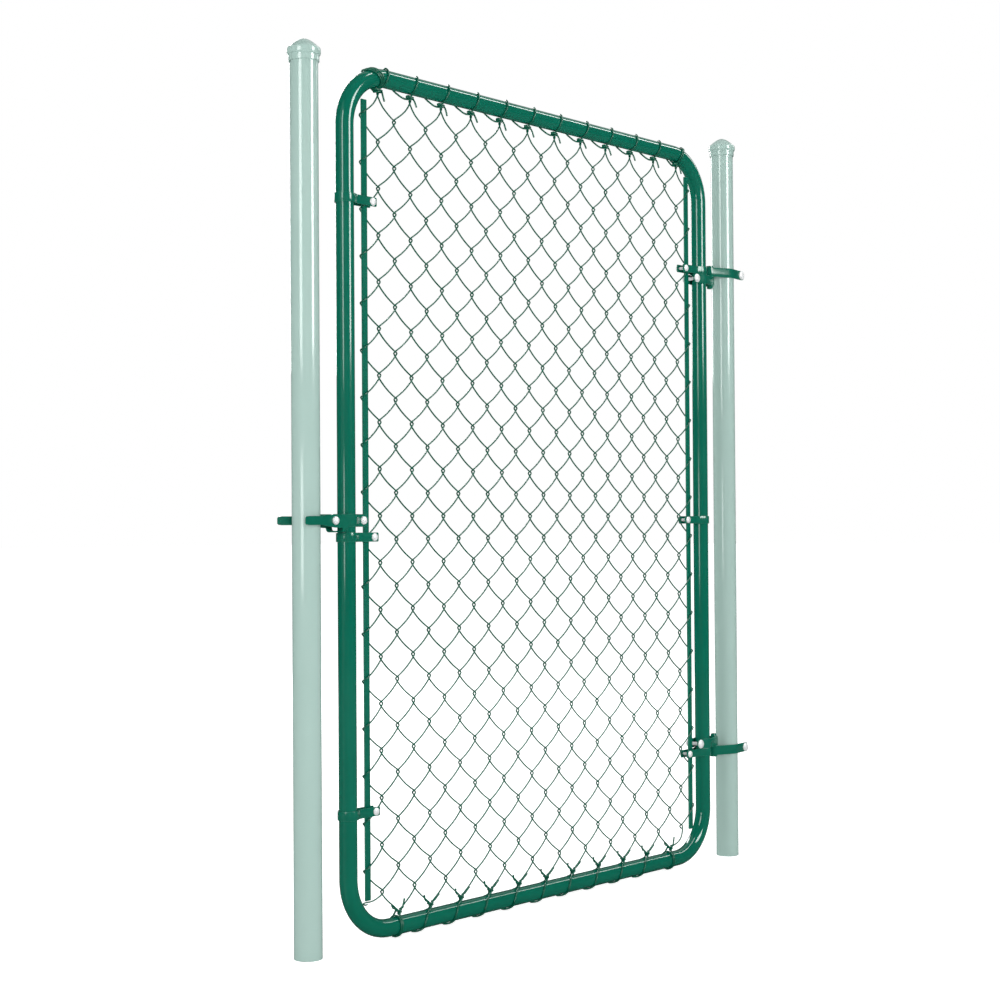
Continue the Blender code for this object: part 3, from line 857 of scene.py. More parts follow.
@dataclass
class Fabric:
    """Chain link: flattened spirals of wire, each hooked into the next.

    The grid of knuckles is the CAD model's, which has room for a wire of wire_radius and a
    gap at each hook. The wires are drawn with drawn_radius, as thin as in the photograph.
    """

    wire_radius: float = 1.5 * MM
    drawn_radius: float = 1.4 * MM
    gap: float = PLAY
    mesh: float = 58.5 * MM
    knuckle: float = 6.5 * MM
    bulge: float = 3.3 * MM
    bend_reach: float = 2.2 * MM
    top_drop: float = 14.0 * MM
    bottom_rise: float = 10.0 * MM
    bow: float = 0.2
    twist_radius: float = 1.5 * MM
    twist_flare: float = 1.0 * MM
    twist_turns: float = 1.25
    twist_steps: int = 16
    top_twist: float = 12.0 * MM
    bottom_twist: float = 7.0 * MM
    edge_bend: float = 4.0 * MM
    slump: tuple[float, float, float] = (10.0 * MM, 0.0, -7.0 * MM)
    # The ends of the two edge wires in mm, from the latch bar's foot and from a knuckle
    round_foot: tuple[tuple[float, float, float], ...] = (
        (29, -3.0, 5.2), (20, -2.6, 1.2), (9, -2.2, -1.8), (0, -0.8, -2.6), (-6, 1.2, -2.8),
        (-10, 1.2, -4.2), (-8, -1.2, -6.2), (-3, -2.5, -5.6),
    )
    cut_short: tuple[tuple[float, float, float], ...] = (
        (3, 3.5, -6.5), (7, 3.6, -8.0), (10, 3.0, -7.0),
    )
    bend_steps: int = 6
    strand_steps: int = 7
    sides: int = 8
    bar_edge: float = 0.7 * MM

    def __post_init__(self) -> None:
        """Work out the grid of knuckles from the bars and the frame."""
        low, high = corners("gate_frame")
        tube = high[1] - low[1]
        latch_low, latch_high = corners("latch_tension_bar")
        latch_x = middle("latch_tension_bar")[0]
        hinge_x = middle("hinge_tension_bar")[0]
        self.bar_foot = np.array([latch_x, 0.0, latch_low[2]])
        bar_width, bar_thick = latch_high[0] - latch_low[0], latch_high[1] - latch_low[1]
        self.hook = (2 * self.wire_radius + self.gap) / math.sqrt(2)
        self.depth = (2 * self.wire_radius + self.gap) / 2
        past_bar = bar_width / 2 + self.gap + self.wire_radius
        self.first_x = latch_x - past_bar + self.hook
        last_x = hinge_x + past_bar - self.hook
        self.pickets = round((last_x - self.first_x) / (self.mesh / math.sqrt(2)))
        self.pitch_x = (last_x - self.first_x) / self.pickets
        self.top_z = high[2] - tube - self.top_drop
        self.bottom_z = low[2] + tube + self.bottom_rise
        self.rows = round((self.top_z - self.bottom_z) / (self.mesh / math.sqrt(2)))
        self.pitch_z = (self.top_z - self.bottom_z) / self.rows
        over_bar = (past_bar + bar_width / 2) / (self.pitch_x + 2 * self.hook)
        beside_bar = bar_thick / 2 + self.gap + self.wire_radius
        self.edge_depth = (beside_bar - self.depth * over_bar) / (1 - over_bar)

    def column(self, number: int) -> float:
        """x of a column of knuckles."""
        return self.first_x + number * self.pitch_x

    def twist(self, number: int, z: float, length: float, behind: bool) -> Array:
        """The end of a wire, wound round the axis of its column with its neighbour's end.

        It is the helix x = column + r * cos(turn), y = r * sin(turn), z from the knuckle to
        the wire's end, and both wires of a pair turn the same way, half a turn apart. The
        radius r is twist_radius plus twist_flare times the sixth power of the way along.

        Args:
            number: The column.
            z: Height of the last knuckle.
            length: How far the twist goes, upwards if it is positive.
            behind: True for the wire that comes to the column on the rear side.

        Returns:
            Points from the knuckle to the wire's end.
        """
        t = np.linspace(0, 1, self.twist_steps)
        start = np.pi / 2 if behind else -np.pi / 2
        angle = start + math.copysign(2 * np.pi * self.twist_turns, length) * t
        flare = self.twist_radius + self.twist_flare * t ** 6
        return np.stack([
            self.column(number) + flare * np.cos(angle), flare * np.sin(angle), z + length * t,
        ], axis=1)

    def run(self, picket: int) -> Array:
        """The middle line of a wire from its top end to its bottom end.

        Seen from above each turn is half an ellipse, x = centre + a * sin(turn) and
        y = depth * cos(turn), while z falls by the knuckle's height. Round a tension bar it is
        squared off, with sine and cosine to the power 2/3. Between two turns the wire leaves
        steeply and arrives shallowly: with s the share of the way, x goes as
        s - bow * s * (1 - s) and z as s + bow * s * (1 - s). The two edge wires stop
        before their last strand, and the last strand of the wire beside the hinge edge's
        sags by 4 * s * (1 - s) * slump. Then each point goes half the way to the middle
        between its neighbours, which smooths the joins.

        Args:
            picket: The wire's number from the latch side, from 0.

        Returns:
            Points, one a row.
        """
        row = np.arange(self.rows + 1)
        side = np.where((picket + row) % 2 == 0, 1.0, -1.0)
        number = np.where(side > 0, picket + 1, picket)
        at_edge = (number == 0) | (number == self.pickets)
        reach = np.where(at_edge, self.edge_bend, self.bend_reach)
        depth = np.where(at_edge, self.edge_depth, self.bulge)
        power = np.where(at_edge, 2 / 3, 1.0)[:, None]
        centre = self.first_x + number * self.pitch_x + side * (self.hook - reach)
        z = self.top_z - row * self.pitch_z
        turn = np.linspace(0, np.pi, self.bend_steps + 1)[None, :]
        cosine = np.sign(np.cos(turn)) * np.abs(np.cos(turn)) ** power
        bends = np.stack([
            centre[:, None] + (side * reach)[:, None] * np.sin(turn) ** power,
            (side * depth)[:, None] * cosine,
            z[:, None] + self.knuckle * (0.5 - turn / np.pi),
        ], axis=2)
        s = (np.arange(1, self.strand_steps) / self.strand_steps)[None, :, None]
        start, end = bends[:-1, -1][:, None], bends[1:, 0][:, None]
        bow = self.bow * s * (1 - s) * np.array([-1.0, 0.0, 1.0])
        strands = start + (end - start) * (s + bow)
        if picket == self.pickets - 2:
            strands[-1] += 4 * s[0] * (1 - s[0]) * np.array(self.slump)
        body = np.concatenate([bends[1:-1], strands[1:]], axis=1).reshape(-1, 3)
        if picket in (0, self.pickets - 1):
            body = body[: 1 - self.strand_steps]
        top = self.twist(number[0], z[0], self.top_twist, behind=side[0] < 0)[::-1]
        last = self.ending(picket, number[-1], z[-1], side[-1] > 0, body[-1])
        path = np.vstack([top, strands[0, 1:], body, last])
        path[1:-1] = (path[:-2] + 2 * path[1:-1] + path[2:]) / 4
        return path

    def ending(self, picket: int, number: int, z: float, on_right: bool, start: Array) -> Array:
        """The bottom end of a wire: a twist, or at the two edges an end of its own.

        The latch edge's wire goes round the foot of the bar and curls up behind it. The
        hinge edge's is cut off just after its last knuckle, one row above the others' ends.

        Args:
            picket: The wire's number.
            number: Its last column.
            z: Height of the last row.
            on_right: True if it ends on its right side.
            start: The last point before the end.

        Returns:
            Points to the wire's end.
        """
        if picket == 0:
            shape, place = self.round_foot, self.bar_foot
        elif picket == self.pickets - 1:
            shape = self.cut_short
            place = np.array([self.column(self.pickets - 1), 0.0, z + self.pitch_z])
        else:
            return self.twist(number, z, -self.bottom_twist, behind=on_right)
        return curve(np.vstack([start, place + np.array(shape) * MM]), 4)[1:]

    def bar(self, node: str) -> None:
        """Make a tension bar. It stands on end, so its length is the height of a strap.

        Args:
            node: The bar's CAD node.
        """
        low, high = corners(node)
        x, half = (low[0] + high[0]) / 2, (high[0] - low[0]) / 2
        rows = np.zeros((4, 5))
        rows[:, 0] = x + np.array([-half, self.bar_edge - half, half - self.bar_edge, half])
        rows[:, 1:4] = (low[1] + high[1]) / 2, low[2], high[2]
        rows[[0, -1], 4] = self.bar_edge
        shell = strap(rows, high[1] - low[1], self.bar_edge)
        fit(node + "_flat", [shell], STRAP_GREEN, Body.GATE, (node,))

    def build(self) -> None:
        """Make the wires, one piece each, and the bars that they loop round."""
        for picket in range(self.pickets):
            name = f"{picket + 1:02d}"
            shell = wire(self.run(picket), self.drawn_radius, self.sides)
            fit("woven_wire_" + name, [shell], WIRE_GREEN, Body.GATE, ("picket_" + name,), 80)
        for side in Side:
            self.bar(side.word + "_tension_bar")


@dataclass
class Bolt:
    """A carriage bolt through two ears, with its domed head in front and a nut behind."""

    head: float
    height: float
    shank: float = 7.5 * MM
    nut: float = 12.5 * MM
    nut_height: float = 5.5 * MM
    washer: float = 1.0 * MM
    tail: float = 2.5 * MM
    pitch: float = 1.25 * MM
    rim: float = 0.5 * MM
    washer_share: float = 1.22
    washer_edge: float = 0.2 * MM
    cone_share: float = 0.98
    cone_slope: float = 1.7
    groove: float = 0.5 * MM
    point: float = 0.7 * MM

    def shells(self, x: float, z: float, front: float, rear: float) -> list[Shell]:
        """The bolt's surfaces.

        Args:
            x: Where it goes through.
            z: Its height.
            front: y of the face that the head sits on.
            rear: y of the face that the nut pulls against.

        Returns:
            The head with its shank, the washer, the nut and the thread's end.
        """
        wide, shank = self.head / 2, self.shank / 2
        head = np.vstack([
            [(shank, front - rear), (shank, 0.0), (wide, 0.0)],
            bowl((wide, self.rim), self.height, 12),
        ])
        ring = self.nut / 2 * self.washer_share
        washer = np.array([
            (ring - self.washer_edge, 0), (ring, self.washer_edge), (ring, self.washer),
            (ring * 0.6, self.washer),
        ])
        seat = rear + self.washer
        return [
            turned(head, np.array([x, front, z]), Axis.FRONT),
            turned(washer, np.array([x, rear, z]), Axis.REAR),
            self.hexagon(x, z, seat), self.thread(x, z, seat + self.nut_height),
        ]

    def around(self, x: float, z: float, radius: Array, angle: Array, y: Array) -> Shell:
        """A surface round the bolt: (x + radius * cos(angle), y, z - radius * sin(angle))."""
        y = np.broadcast_to(y, radius.shape)
        return Shell(np.stack([x + radius * np.cos(angle), y, z - radius * np.sin(angle)], axis=2))

    def hexagon(self, x: float, z: float, seat: float) -> Shell:
        """The nut: at each angle its radius is the smaller of a hexagon's and a cone's.

        The hexagon's radius is the apothem over the cosine of the angle from the nearest
        flat's middle, and the cone cuts off the corners at both faces.

        Args:
            x: The bolt's x.
            z: The bolt's height.
            seat: y of the nut's front face.

        Returns:
            The surface.
        """
        apothem = self.nut / 2
        angle = np.linspace(0, 2 * np.pi, 48, endpoint=False)
        hexagon = apothem / np.cos((angle + np.pi / 6) % (np.pi / 3) - np.pi / 6)
        level = np.array([0.0, 0.06, 0.14, 0.5, 0.86, 0.94, 1.0])[:, None]
        slope = self.nut_height * self.cone_slope
        cone = apothem * self.cone_share + np.minimum(level, 1 - level) * slope
        radius = np.minimum(hexagon[None, :], cone)
        return self.around(x, z, radius, angle, seat + level * self.nut_height)

    def thread(self, x: float, z: float, start: float) -> Shell:
        """The thread's end: radius falls and rises once a pitch along a helix.

        The radius is the shank's less groove times twice the distance of
        y / pitch - angle / turn from the nearest whole number, and over the last fifth it
        narrows evenly by point.

        Args:
            x: The bolt's x.
            z: The bolt's height.
            start: y of the nut's rear face.

        Returns:
            The surface.
        """
        angle = np.linspace(0, 2 * np.pi, 24, endpoint=False)
        y = np.linspace(0, self.tail, 17)[:, None]
        phase = y / self.pitch - angle[None, :] / (2 * np.pi)
        depth = self.groove * np.abs(phase - np.round(phase)) * 2
        taper = np.clip((y / self.tail - 0.8) * 5, 0, 1) * self.point
        return self.around(x, z, self.shank / 2 - depth - taper, angle, start + y)


@dataclass
class TensionBands:
    """The six straps that hold the tension bars to the stiles, each with its bolt."""

    height: float = 16.0 * MM
    thickness: float = 2.0 * MM
    reach: float = 70.0 * MM
    ear_start: float = 6.0 * MM
    ear_y: float = 7.89 * MM
    corner: float = 2.0 * MM
    mouth: float = 68.0
    tube: float = TUBE
    bolt_at: float = 60.0 * MM
    bolt: Bolt = field(default_factory=lambda: Bolt(
        head=14.0 * MM, height=3.6 * MM, shank=6.3 * MM, nut=11.0 * MM, nut_height=4.8 * MM,
        washer=0.0,
    ))

    def outline(self) -> Array:
        """Stations of a band from its front ear round the tube to its rear ear.

        Returns:
            The stations, with the tube's axis at the origin and the ears towards +X.
        """
        hug = self.tube / 2 + PLAY + self.thickness / 2
        ear_x = hug + self.ear_start
        leaves = self.mouth - math.degrees(math.atan2(hug - self.ear_y, ear_x))
        bends = np.vstack([
            [(ear_x, -self.ear_y)], arc((0.0, 0.0), hug, -leaves, leaves - 360, 12),
            [(ear_x, self.ear_y)],
        ])
        return eared(bends, self.reach, self.ear_y, self.height / 2, self.corner)

    def build(self) -> None:
        """Make the bands and their bolts."""
        low, high = corners("gate_frame")
        stile = {Side.LATCH: low[0] + self.tube / 2, Side.HINGE: high[0] - self.tube / 2}
        outline = self.outline()
        face = self.ear_y + self.thickness / 2
        for side in Side:
            for level in ("upper", "middle", "lower"):
                node = f"{level}_{side.word}_tension_band"
                z = middle(node)[2]
                shell = strap(placed(outline, (stile[side], 0.0, z), side.value), self.thickness)
                fit(node + "_strap", [shell], STRAP_GREEN, Body.GATE, (node,), 40)
                x = stile[side] + side.value * self.bolt_at
                fit(node + "_bolt", self.bolt.shells(x, z, -face, face), BOLT_ZINC, Body.GATE)


@dataclass
class Hinges:
    """Two strap hinges: a strap on the post, a pin through its eye, and a strap on the gate."""

    height: float = 20.0 * MM
    thickness: float = 2.5 * MM
    ear: float = 18.0 * MM
    pinch: float = 5.0 * MM
    corner: float = 6.0 * MM
    pin: float = 12.7 * MM
    pin_head: float = 16.5 * MM
    pin_head_height: float = 3.0 * MM
    pin_edge: float = PLAY
    eye_play: float = 0.5 * MM
    tube: float = TUBE
    post: float = 48.3 * MM
    gate_reach: float = 36.5 * MM
    post_reach: float = 51.0 * MM
    gate_bolt_at: float = 26.5 * MM
    post_bolt_at: float = 41.0 * MM
    bolt: Bolt = field(default_factory=lambda: Bolt(head=18.5 * MM, height=4.8 * MM))

    def outline(self, hug: float, eye: float, spread: float, reach: float) -> Array:
        """Stations of a strap from one ear past a tube, round the pin and back.

        Args:
            hug: Radius of its middle line round the tube.
            eye: Radius of its middle line round the pin.
            spread: Distance between the axes of tube and pin.
            reach: Where the ears end, on the far side of the tube.

        Returns:
            The stations, with the tube's axis at the origin and the pin on the -X side.
        """
        taper = math.degrees(math.asin((hug - eye) / spread))
        ear_x, ear_y = reach - self.ear, hug - self.pinch
        touch = math.degrees(math.atan2(ear_y, ear_x) + math.acos(hug / math.hypot(ear_x, ear_y)))
        bends = np.vstack([
            [(ear_x, -ear_y)],
            arc((0.0, 0.0), hug, -touch, -90 - taper, 4),
            arc((-spread, 0.0), eye, -90 - taper, -270 + taper, 10),
            arc((0.0, 0.0), hug, -270 + taper, touch - 360, 4),
            [(ear_x, ear_y)],
        ])
        return eared(bends, reach, ear_y, self.height / 2, self.corner)

    def build(self) -> None:
        """Make both hinges."""
        steel, pin = self.thickness / 2, self.pin / 2
        stile_x = corners("gate_frame")[1][0] - self.tube / 2
        axis_x = middle("upper_hinge_pin")[0]
        on_post = self.outline(
            self.post / 2 + PLAY + steel, pin + PLAY + steel, -axis_x, self.post_reach,
        )
        on_gate = self.outline(
            self.tube / 2 + PLAY + steel, pin + self.eye_play + steel, axis_x - stile_x,
            self.gate_reach,
        )
        for level in ("upper", "lower"):
            for word, outline, x, way, bolt_x, tube, body in (
                ("post", on_post, 0.0, 1.0, self.post_bolt_at, self.post, Body.POSTS),
                ("gate", on_gate, stile_x, -1.0, stile_x - self.gate_bolt_at, self.tube, Body.GATE),
            ):
                node = f"{level}_hinge_{word}_strap"
                z = middle(node)[2]
                shell = strap(placed(outline, (x, 0.0, z), way), self.thickness)
                fit(node + "_rolled", [shell], STRAP_GREEN, body, (node,), 40)
                face = tube / 2 + PLAY + self.thickness - self.pinch
                bolt = self.bolt.shells(bolt_x, z, -face, face)
                fit(node + "_bolt", bolt, BOLT_ZINC, body)
            self.pintle(level, axis_x)

    def pintle(self, level: str, axis_x: float) -> None:
        """Make a hinge pin with its flat head.

        Args:
            level: upper or lower.
            axis_x: x of the hinge's axis.
        """
        node = level + "_hinge_pin"
        low, high = corners(node)
        length = high[2] - low[2]
        rim, shank, head = self.pin_head / 2, self.pin / 2, self.pin_head_height
        edge = self.pin_edge
        profile = np.array([
            (rim - 1.2 * MM, 0.0), (rim - 0.5 * MM, 0.2 * MM), (rim, 0.9 * MM), (rim, head - edge),
            (rim - edge, head), (shank, head), (shank, length - 1.5 * MM),
            (shank - 0.6 * MM, length - 0.5 * MM), (shank - 1.5 * MM, length),
        ])
        start, axis = (high[2], Axis.DOWN) if level == "upper" else (low[2], Axis.UP)
        shell = turned(profile, np.array([axis_x, 0.0, start]), axis, 36)
        fit(node + "_turned", [shell], STRAP_GREEN, Body.POSTS, (node,))


@dataclass
class Latch:
    """The fork latch: a clamp of two plates, the fork, and the bolt that the fork turns on."""

    steel: float = 2.5 * MM
    clamp_height: float = 22.0 * MM
    reach: float = 46.0 * MM
    ear_gap: float = 8.0 * MM
    ear_start: float = 8.0 * MM
    corner: float = 3.0 * MM
    mouth: float = 68.0
    tube: float = TUBE
    clamp_bolt_at: float = 35.5 * MM
    cheek_play: float = 0.6 * MM
    bolt: Bolt = field(default_factory=lambda: Bolt(head=14.5 * MM, height=4.2 * MM, nut=12.0 * MM))
    pivot: Bolt = field(default_factory=lambda: Bolt(
        head=14.5 * MM, height=4.5 * MM, shank=8 * MM, nut=13 * MM, nut_height=6 * MM,
        washer=0.0, tail=2 * MM,
    ))
    merge: float = 0.002 * MM
    flat_angle: float = 0.5
    sharp_angle: float = 35.0
    rolled: float = 0.35 * MM

    def plate(self, to_pivot: float) -> Array:
        """Stations of the rear plate: a round-ended arm, a bend round the stile, an ear.

        Args:
            to_pivot: x of the pivot from the stile's axis.

        Returns:
            The stations, with the stile's axis at the origin.
        """
        half = self.clamp_height / 2
        hug = self.tube / 2 + PLAY + self.steel / 2
        ear_y = self.ear_gap / 2 + self.steel / 2
        ear_x = hug + self.ear_start
        lean = math.degrees(math.atan2(hug - ear_y, ear_x))
        # The arm's round end is cut off flat, 12 degrees from its tip
        turn = np.radians(np.linspace(12, 90, 12))
        rise = half * np.sin(turn)
        arm = np.stack([
            to_pivot - half * np.cos(turn), np.full_like(turn, hug), -rise, rise,
            np.zeros_like(turn),
        ], axis=1)
        bends = np.vstack([
            [(to_pivot + 1 * MM, hug)], arc((0.0, 0.0), hug, 90, self.mouth - lean, 4),
            [(ear_x, ear_y), (self.reach - self.corner - 1 * MM, ear_y)],
        ])
        return np.vstack([
            arm, eased(stations_of(bends, -half, half)),
            tongue(self.reach, ear_y, half, self.corner)[::-1],
        ])

    def build(self) -> None:
        """Make the clamp, the fork and the bolts."""
        stile_x = corners("gate_frame")[0][0] + self.tube / 2
        pivot = middle("latch_pivot_bolt")
        plate = self.plate(pivot[0] - stile_x)
        for word, sign in (("front", -1.0), ("rear", 1.0)):
            node = word + "_latch_clamp"
            stations = plate.copy()
            stations[:, 1] *= sign
            shell = strap(placed(stations, (stile_x, 0.0, pivot[2])), self.steel)
            fit(node + "_plate", [shell], STRAP_GREEN, Body.GATE, (node,), 40)
        face = self.ear_gap / 2 + self.steel
        x = stile_x + self.clamp_bolt_at
        fit("latch_clamp_bolt", self.bolt.shells(x, pivot[2], -face, face), BOLT_ZINC, Body.GATE)
        cheek = self.tube / 2 + self.cheek_play + self.steel * 2 + PLAY
        fit(
            "latch_pivot_carriage_bolt", self.pivot.shells(pivot[0], pivot[2], -cheek, cheek),
            BOLT_ZINC, Body.GATE, ("latch_pivot_bolt",),
        )
        self.fork()

    def fork(self) -> None:
        """Make the fork in the CAD solid's own form.

        Its loose triangles are joined, flat ones become one face, and a Bevel modifier
        rounds its edges.
        """
        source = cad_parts["latch_fork"].data.copy()
        shape = bmesh.new()
        shape.from_mesh(source)
        bmesh.ops.remove_doubles(shape, verts=shape.verts, dist=self.merge)
        flat = math.radians(self.flat_angle)
        bmesh.ops.dissolve_limit(shape, angle_limit=flat, verts=shape.verts, edges=shape.edges)
        mesh = bpy.data.meshes.new("latch_fork_bent")
        shape.to_mesh(mesh)
        shape.free()
        bpy.data.meshes.remove(source)
        sharp = math.radians(self.sharp_angle)
        mesh.shade_smooth()
        mesh.set_sharp_from_angle(angle=sharp)
        item = join_frame("latch_fork_bent", mesh, STRAP_GREEN, Body.LATCH, ("latch_fork",))
        bevel = item.modifiers.new("rolled_edges", "BEVEL")
        bevel.width = self.rolled
        bevel.segments = 2
        bevel.limit_method = "ANGLE"
        bevel.angle_limit = sharp
        bevel.harden_normals = True


class Wrap(Enum):
    """How a tie goes round its rail: angles in degrees, and mm along the rail from its twist."""

    TOP = ((55, 0), (95, 2), (150, 11), (180, 18), (215, 28), (250, 12), (300, -28))
    TOP_FIRST = (
        (55, -9), (180, -28), (300, -16), (415, -5), (540, -22), (660, -10), (775, -1), (900, -16),
        (1020, -4), (1135, 5), (1260, 16), (1295, 22), (1380, -12),
    )
    TOP_LAST = (
        (55, -3), (95, -1), (180, 9), (215, 14), (300, 0), (415, 2), (455, 3), (540, 13),
        (660, -14),
    )
    BOTTOM = ((20, -8), (45, -20), (90, -33), (140, -33), (190, -46), (260, -26), (330, 6))
    BOTTOM_END = (
        (20, -4), (90, -8), (180, -9), (270, -6), (380, -8), (450, -12), (540, -13), (690, -6),
    )


@dataclass
class RailTies:
    """Soft wire ties that hold each twist of the fabric to the rail beside it."""

    fabric: Fabric
    radius: float = 1.7 * MM
    tube: float = TUBE
    bend: float = TUBE_BEND
    play: float = 0.2 * MM
    slack: float = 0.3 * MM
    knot_drop: float = 6.0 * MM
    knot_reach: float = 7.2 * MM
    knot_depth: float = 4.7 * MM
    knot_climb: float = 4.5 * MM
    knot_turns: tuple[float, float] = (-30.0, 620.0)
    wide_knot: float = 1.35
    low_knot_reach: float = 4.8 * MM
    low_knot_climb: float = -5.0 * MM
    low_knot_turns: tuple[float, float] = (20.0, -455.0)
    wrap_step: float = 25.0
    knot_step: float = 45.0
    sides: int = 7
    seed: int = 4

    def round_rail(self, x: float, wrap: Wrap, up: float) -> Array:
        """A tie's way round its rail, also where the rail bends at a corner of the gate.

        With d the distance past the straight run over the bend's radius, the rail's axis is
        lower by bend * (1 - sqrt(1 - d * d)), and (d, sqrt(1 - d * d)) is the way out of the
        frame. A point is reach * sin(angle) in front of the axis and reach * cos(angle)
        inwards of it. On the top rail the reach has some slack on the side away from the
        fabric.

        Args:
            x: The twist's place.
            wrap: The way round.
            up: 1 for the top rail, -1 for the bottom rail.

        Returns:
            Points, one a row.
        """
        low, high = corners("gate_frame")
        stops = np.array(wrap.value, float)
        first, last = stops[[0, -1], 0]
        angle = np.linspace(first, last, round((last - first) / self.wrap_step))
        x = x + np.interp(angle, stops[:, 0], stops[:, 1]) * MM
        inset = self.tube / 2 + self.bend
        past = (x - np.clip(x, low[0] + inset, high[0] - inset)) / self.bend
        out = np.sqrt(1 - past ** 2)
        rail_z = high[2] - self.tube / 2 if up > 0 else low[2] + self.tube / 2
        turn = np.radians(angle)
        slack = self.slack if up > 0 else 0.0
        reach = self.tube / 2 + self.radius + self.play + slack * np.sin(turn / 2) ** 4
        inwards = reach * np.cos(turn)
        return np.stack([
            x - inwards * past, -reach * np.sin(turn),
            rail_z - up * (self.bend * (1 - out) + inwards * out),
        ], axis=1)

    def knot(
        self, x: float, z: float, turns: tuple[float, float], reach: float, climb: float,
    ) -> Array:
        """Turns round a twist: an ellipse seen from above, which climbs evenly.

        Args:
            x: The twist's place.
            z: The knot's height.
            turns: Angles in degrees at which it starts and ends, 0 at the right, -90 in front.
            reach: Half the knot's width.
            climb: How far it climbs from start to end.

        Returns:
            Points, one a row.
        """
        first, last = turns
        share = np.linspace(0, 1, round(abs(last - first) / self.knot_step) + 1)
        turn = np.radians(first + (last - first) * share)
        return np.stack([
            x + reach * np.cos(turn), self.knot_depth * np.sin(turn), z + climb * (share - 0.5),
        ], axis=1)

    def lower(self, x: float) -> float:
        """How far the top rail is above its straight run: 0, or less where it bends down.

        Args:
            x: The place along the rail.

        Returns:
            The difference of the heights at which a tie starts.
        """
        start, level = (
            self.round_rail(at, Wrap.TOP, 1.0)[0, 2] for at in (x, self.fabric.column(3))
        )
        return start - level

    def top(self, x: float, rng: np.random.Generator, wrap: Wrap) -> Array:
        """One tie of the top rail, from its tail in front to its stub behind.

        It coils round the twist, climbs in front of the rail, goes over it, and comes down
        behind it further towards the latch, then back to the coil.

        Args:
            x: The twist's place.
            rng: Source of the small differences between ties.
            wrap: Its way round the rail.

        Returns:
            The wire's middle line.
        """
        rail = self.round_rail(x + rng.uniform(-1.5, 1.5) * MM, wrap, 1.0)
        under = corners("gate_frame")[1][2] - self.tube
        z = under - self.knot_drop + self.lower(x)
        wide = self.knot_reach * (1.0 if wrap is Wrap.TOP else self.wide_knot)
        at = np.array([x, 0.0, z])
        tail = at + MM * np.array([
            (8.5 + rng.uniform(-1, 1.5), -8, -18 - rng.uniform(-2, 2)), (5.6, -7, -9),
        ])
        coil = self.knot(x, z, self.knot_turns, wide, self.knot_climb)
        behind = rail[-1, 0] - x
        back = at + np.array([
            (behind * 0.66, 8 * MM, 1.5 * MM), (behind * 0.36, 5 * MM, -2.5 * MM),
            (wide * -0.9, 1.5 * MM, -3.6 * MM), (wide * -0.7, -5.4 * MM, -4.6 * MM),
            (wide * 0.2, -6.6 * MM, -2.2 * MM),
        ])
        return curve(np.vstack([tail, coil, rail, back]), 5)

    def bottom(self, x: float, rng: np.random.Generator, wrap: Wrap) -> Array:
        """One tie of the bottom rail.

        It runs down beside the strand on the right, winds on the twist, crosses the rail's
        top towards the latch, goes down its front, comes up behind it and ends beside the
        strand on the left. The ties at the two ends stick out free instead.

        Args:
            x: The twist's place.
            rng: Source of the small differences between ties.
            wrap: Its way round the rail.

        Returns:
            The wire's middle line.
        """
        z = self.fabric.bottom_z
        # A wire beside a strand is this far off its middle: along y, along x and along z
        hug = self.fabric.wire_radius + self.radius
        off_x, off_z = hug * 0.56, hug * 0.83
        t = np.linspace(0, 1, 5)
        side = rng.uniform(0, 0.5) + 0.6 * t
        free = 0.0 if wrap is Wrap.BOTTOM else 1.0
        run = 20 - 15 * t
        right = np.stack([
            x + (run - free * 9 * (1 - t)) * MM + off_x * np.cos(side),
            -1.6 * MM - hug * np.sin(side),
            z + (3.2 + 0.67 * run + free * 6 * (1 - t)) * MM - off_z * np.cos(side),
        ], axis=1)
        coil = self.knot(
            x, z - 0.5 * MM, self.low_knot_turns, self.low_knot_reach, self.low_knot_climb,
        )
        rail = self.round_rail(x + rng.uniform(-2, 2) * MM, wrap, -1.0)
        side = np.pi * (1 - t)
        run = 3 + (9 + rng.uniform(0, 4)) * t
        left = np.stack([
            x - (run + free * 3 * t) * MM + off_x * np.cos(side),
            2 * MM + hug * np.sin(side),
            z + (3.2 + 0.63 * run - free * 4 * t) * MM + off_z * np.cos(side),
        ], axis=1)
        return curve(np.vstack([right, coil, rail, left]), 5)

    def build(self) -> None:
        """Make the ties of both rails."""
        rng = np.random.default_rng(self.seed)
        last = self.fabric.pickets
        ends = {
            1: Wrap.TOP_FIRST, last - 1: Wrap.TOP_LAST,
            2: Wrap.BOTTOM_END, last - 2: Wrap.BOTTOM_END,
        }
        for name, tie, usual, columns in (
            ("top_rail_ties", self.top, Wrap.TOP, range(1, last, 2)),
            ("bottom_rail_ties", self.bottom, Wrap.BOTTOM, range(2, last - 1, 2)),
        ):
            paths = [tie(self.fabric.column(k), rng, ends.get(k, usual)) for k in columns]
            shells = [wire(path, self.radius, self.sides) for path in paths]
            fit(name, shells, WIRE_GREEN, Body.GATE, sharp=80)


# Studio


def stand(item: bpy.types.Object, right: Array, up: Array, back: Array, place: Array) -> None:
    """Put a camera or a lamp in the scene.

    Args:
        item: The camera or lamp.
        right: The direction of its own x.
        up: The direction of its own y.
        back: The direction of its own z, away from what it faces.
        place: Where it stands.
    """
    turn = np.eye(4)
    turn[:3] = np.stack([right, up, back, place], axis=1)
    item.matrix_world = Matrix(turn.tolist())
    bpy.context.scene.collection.objects.link(item)


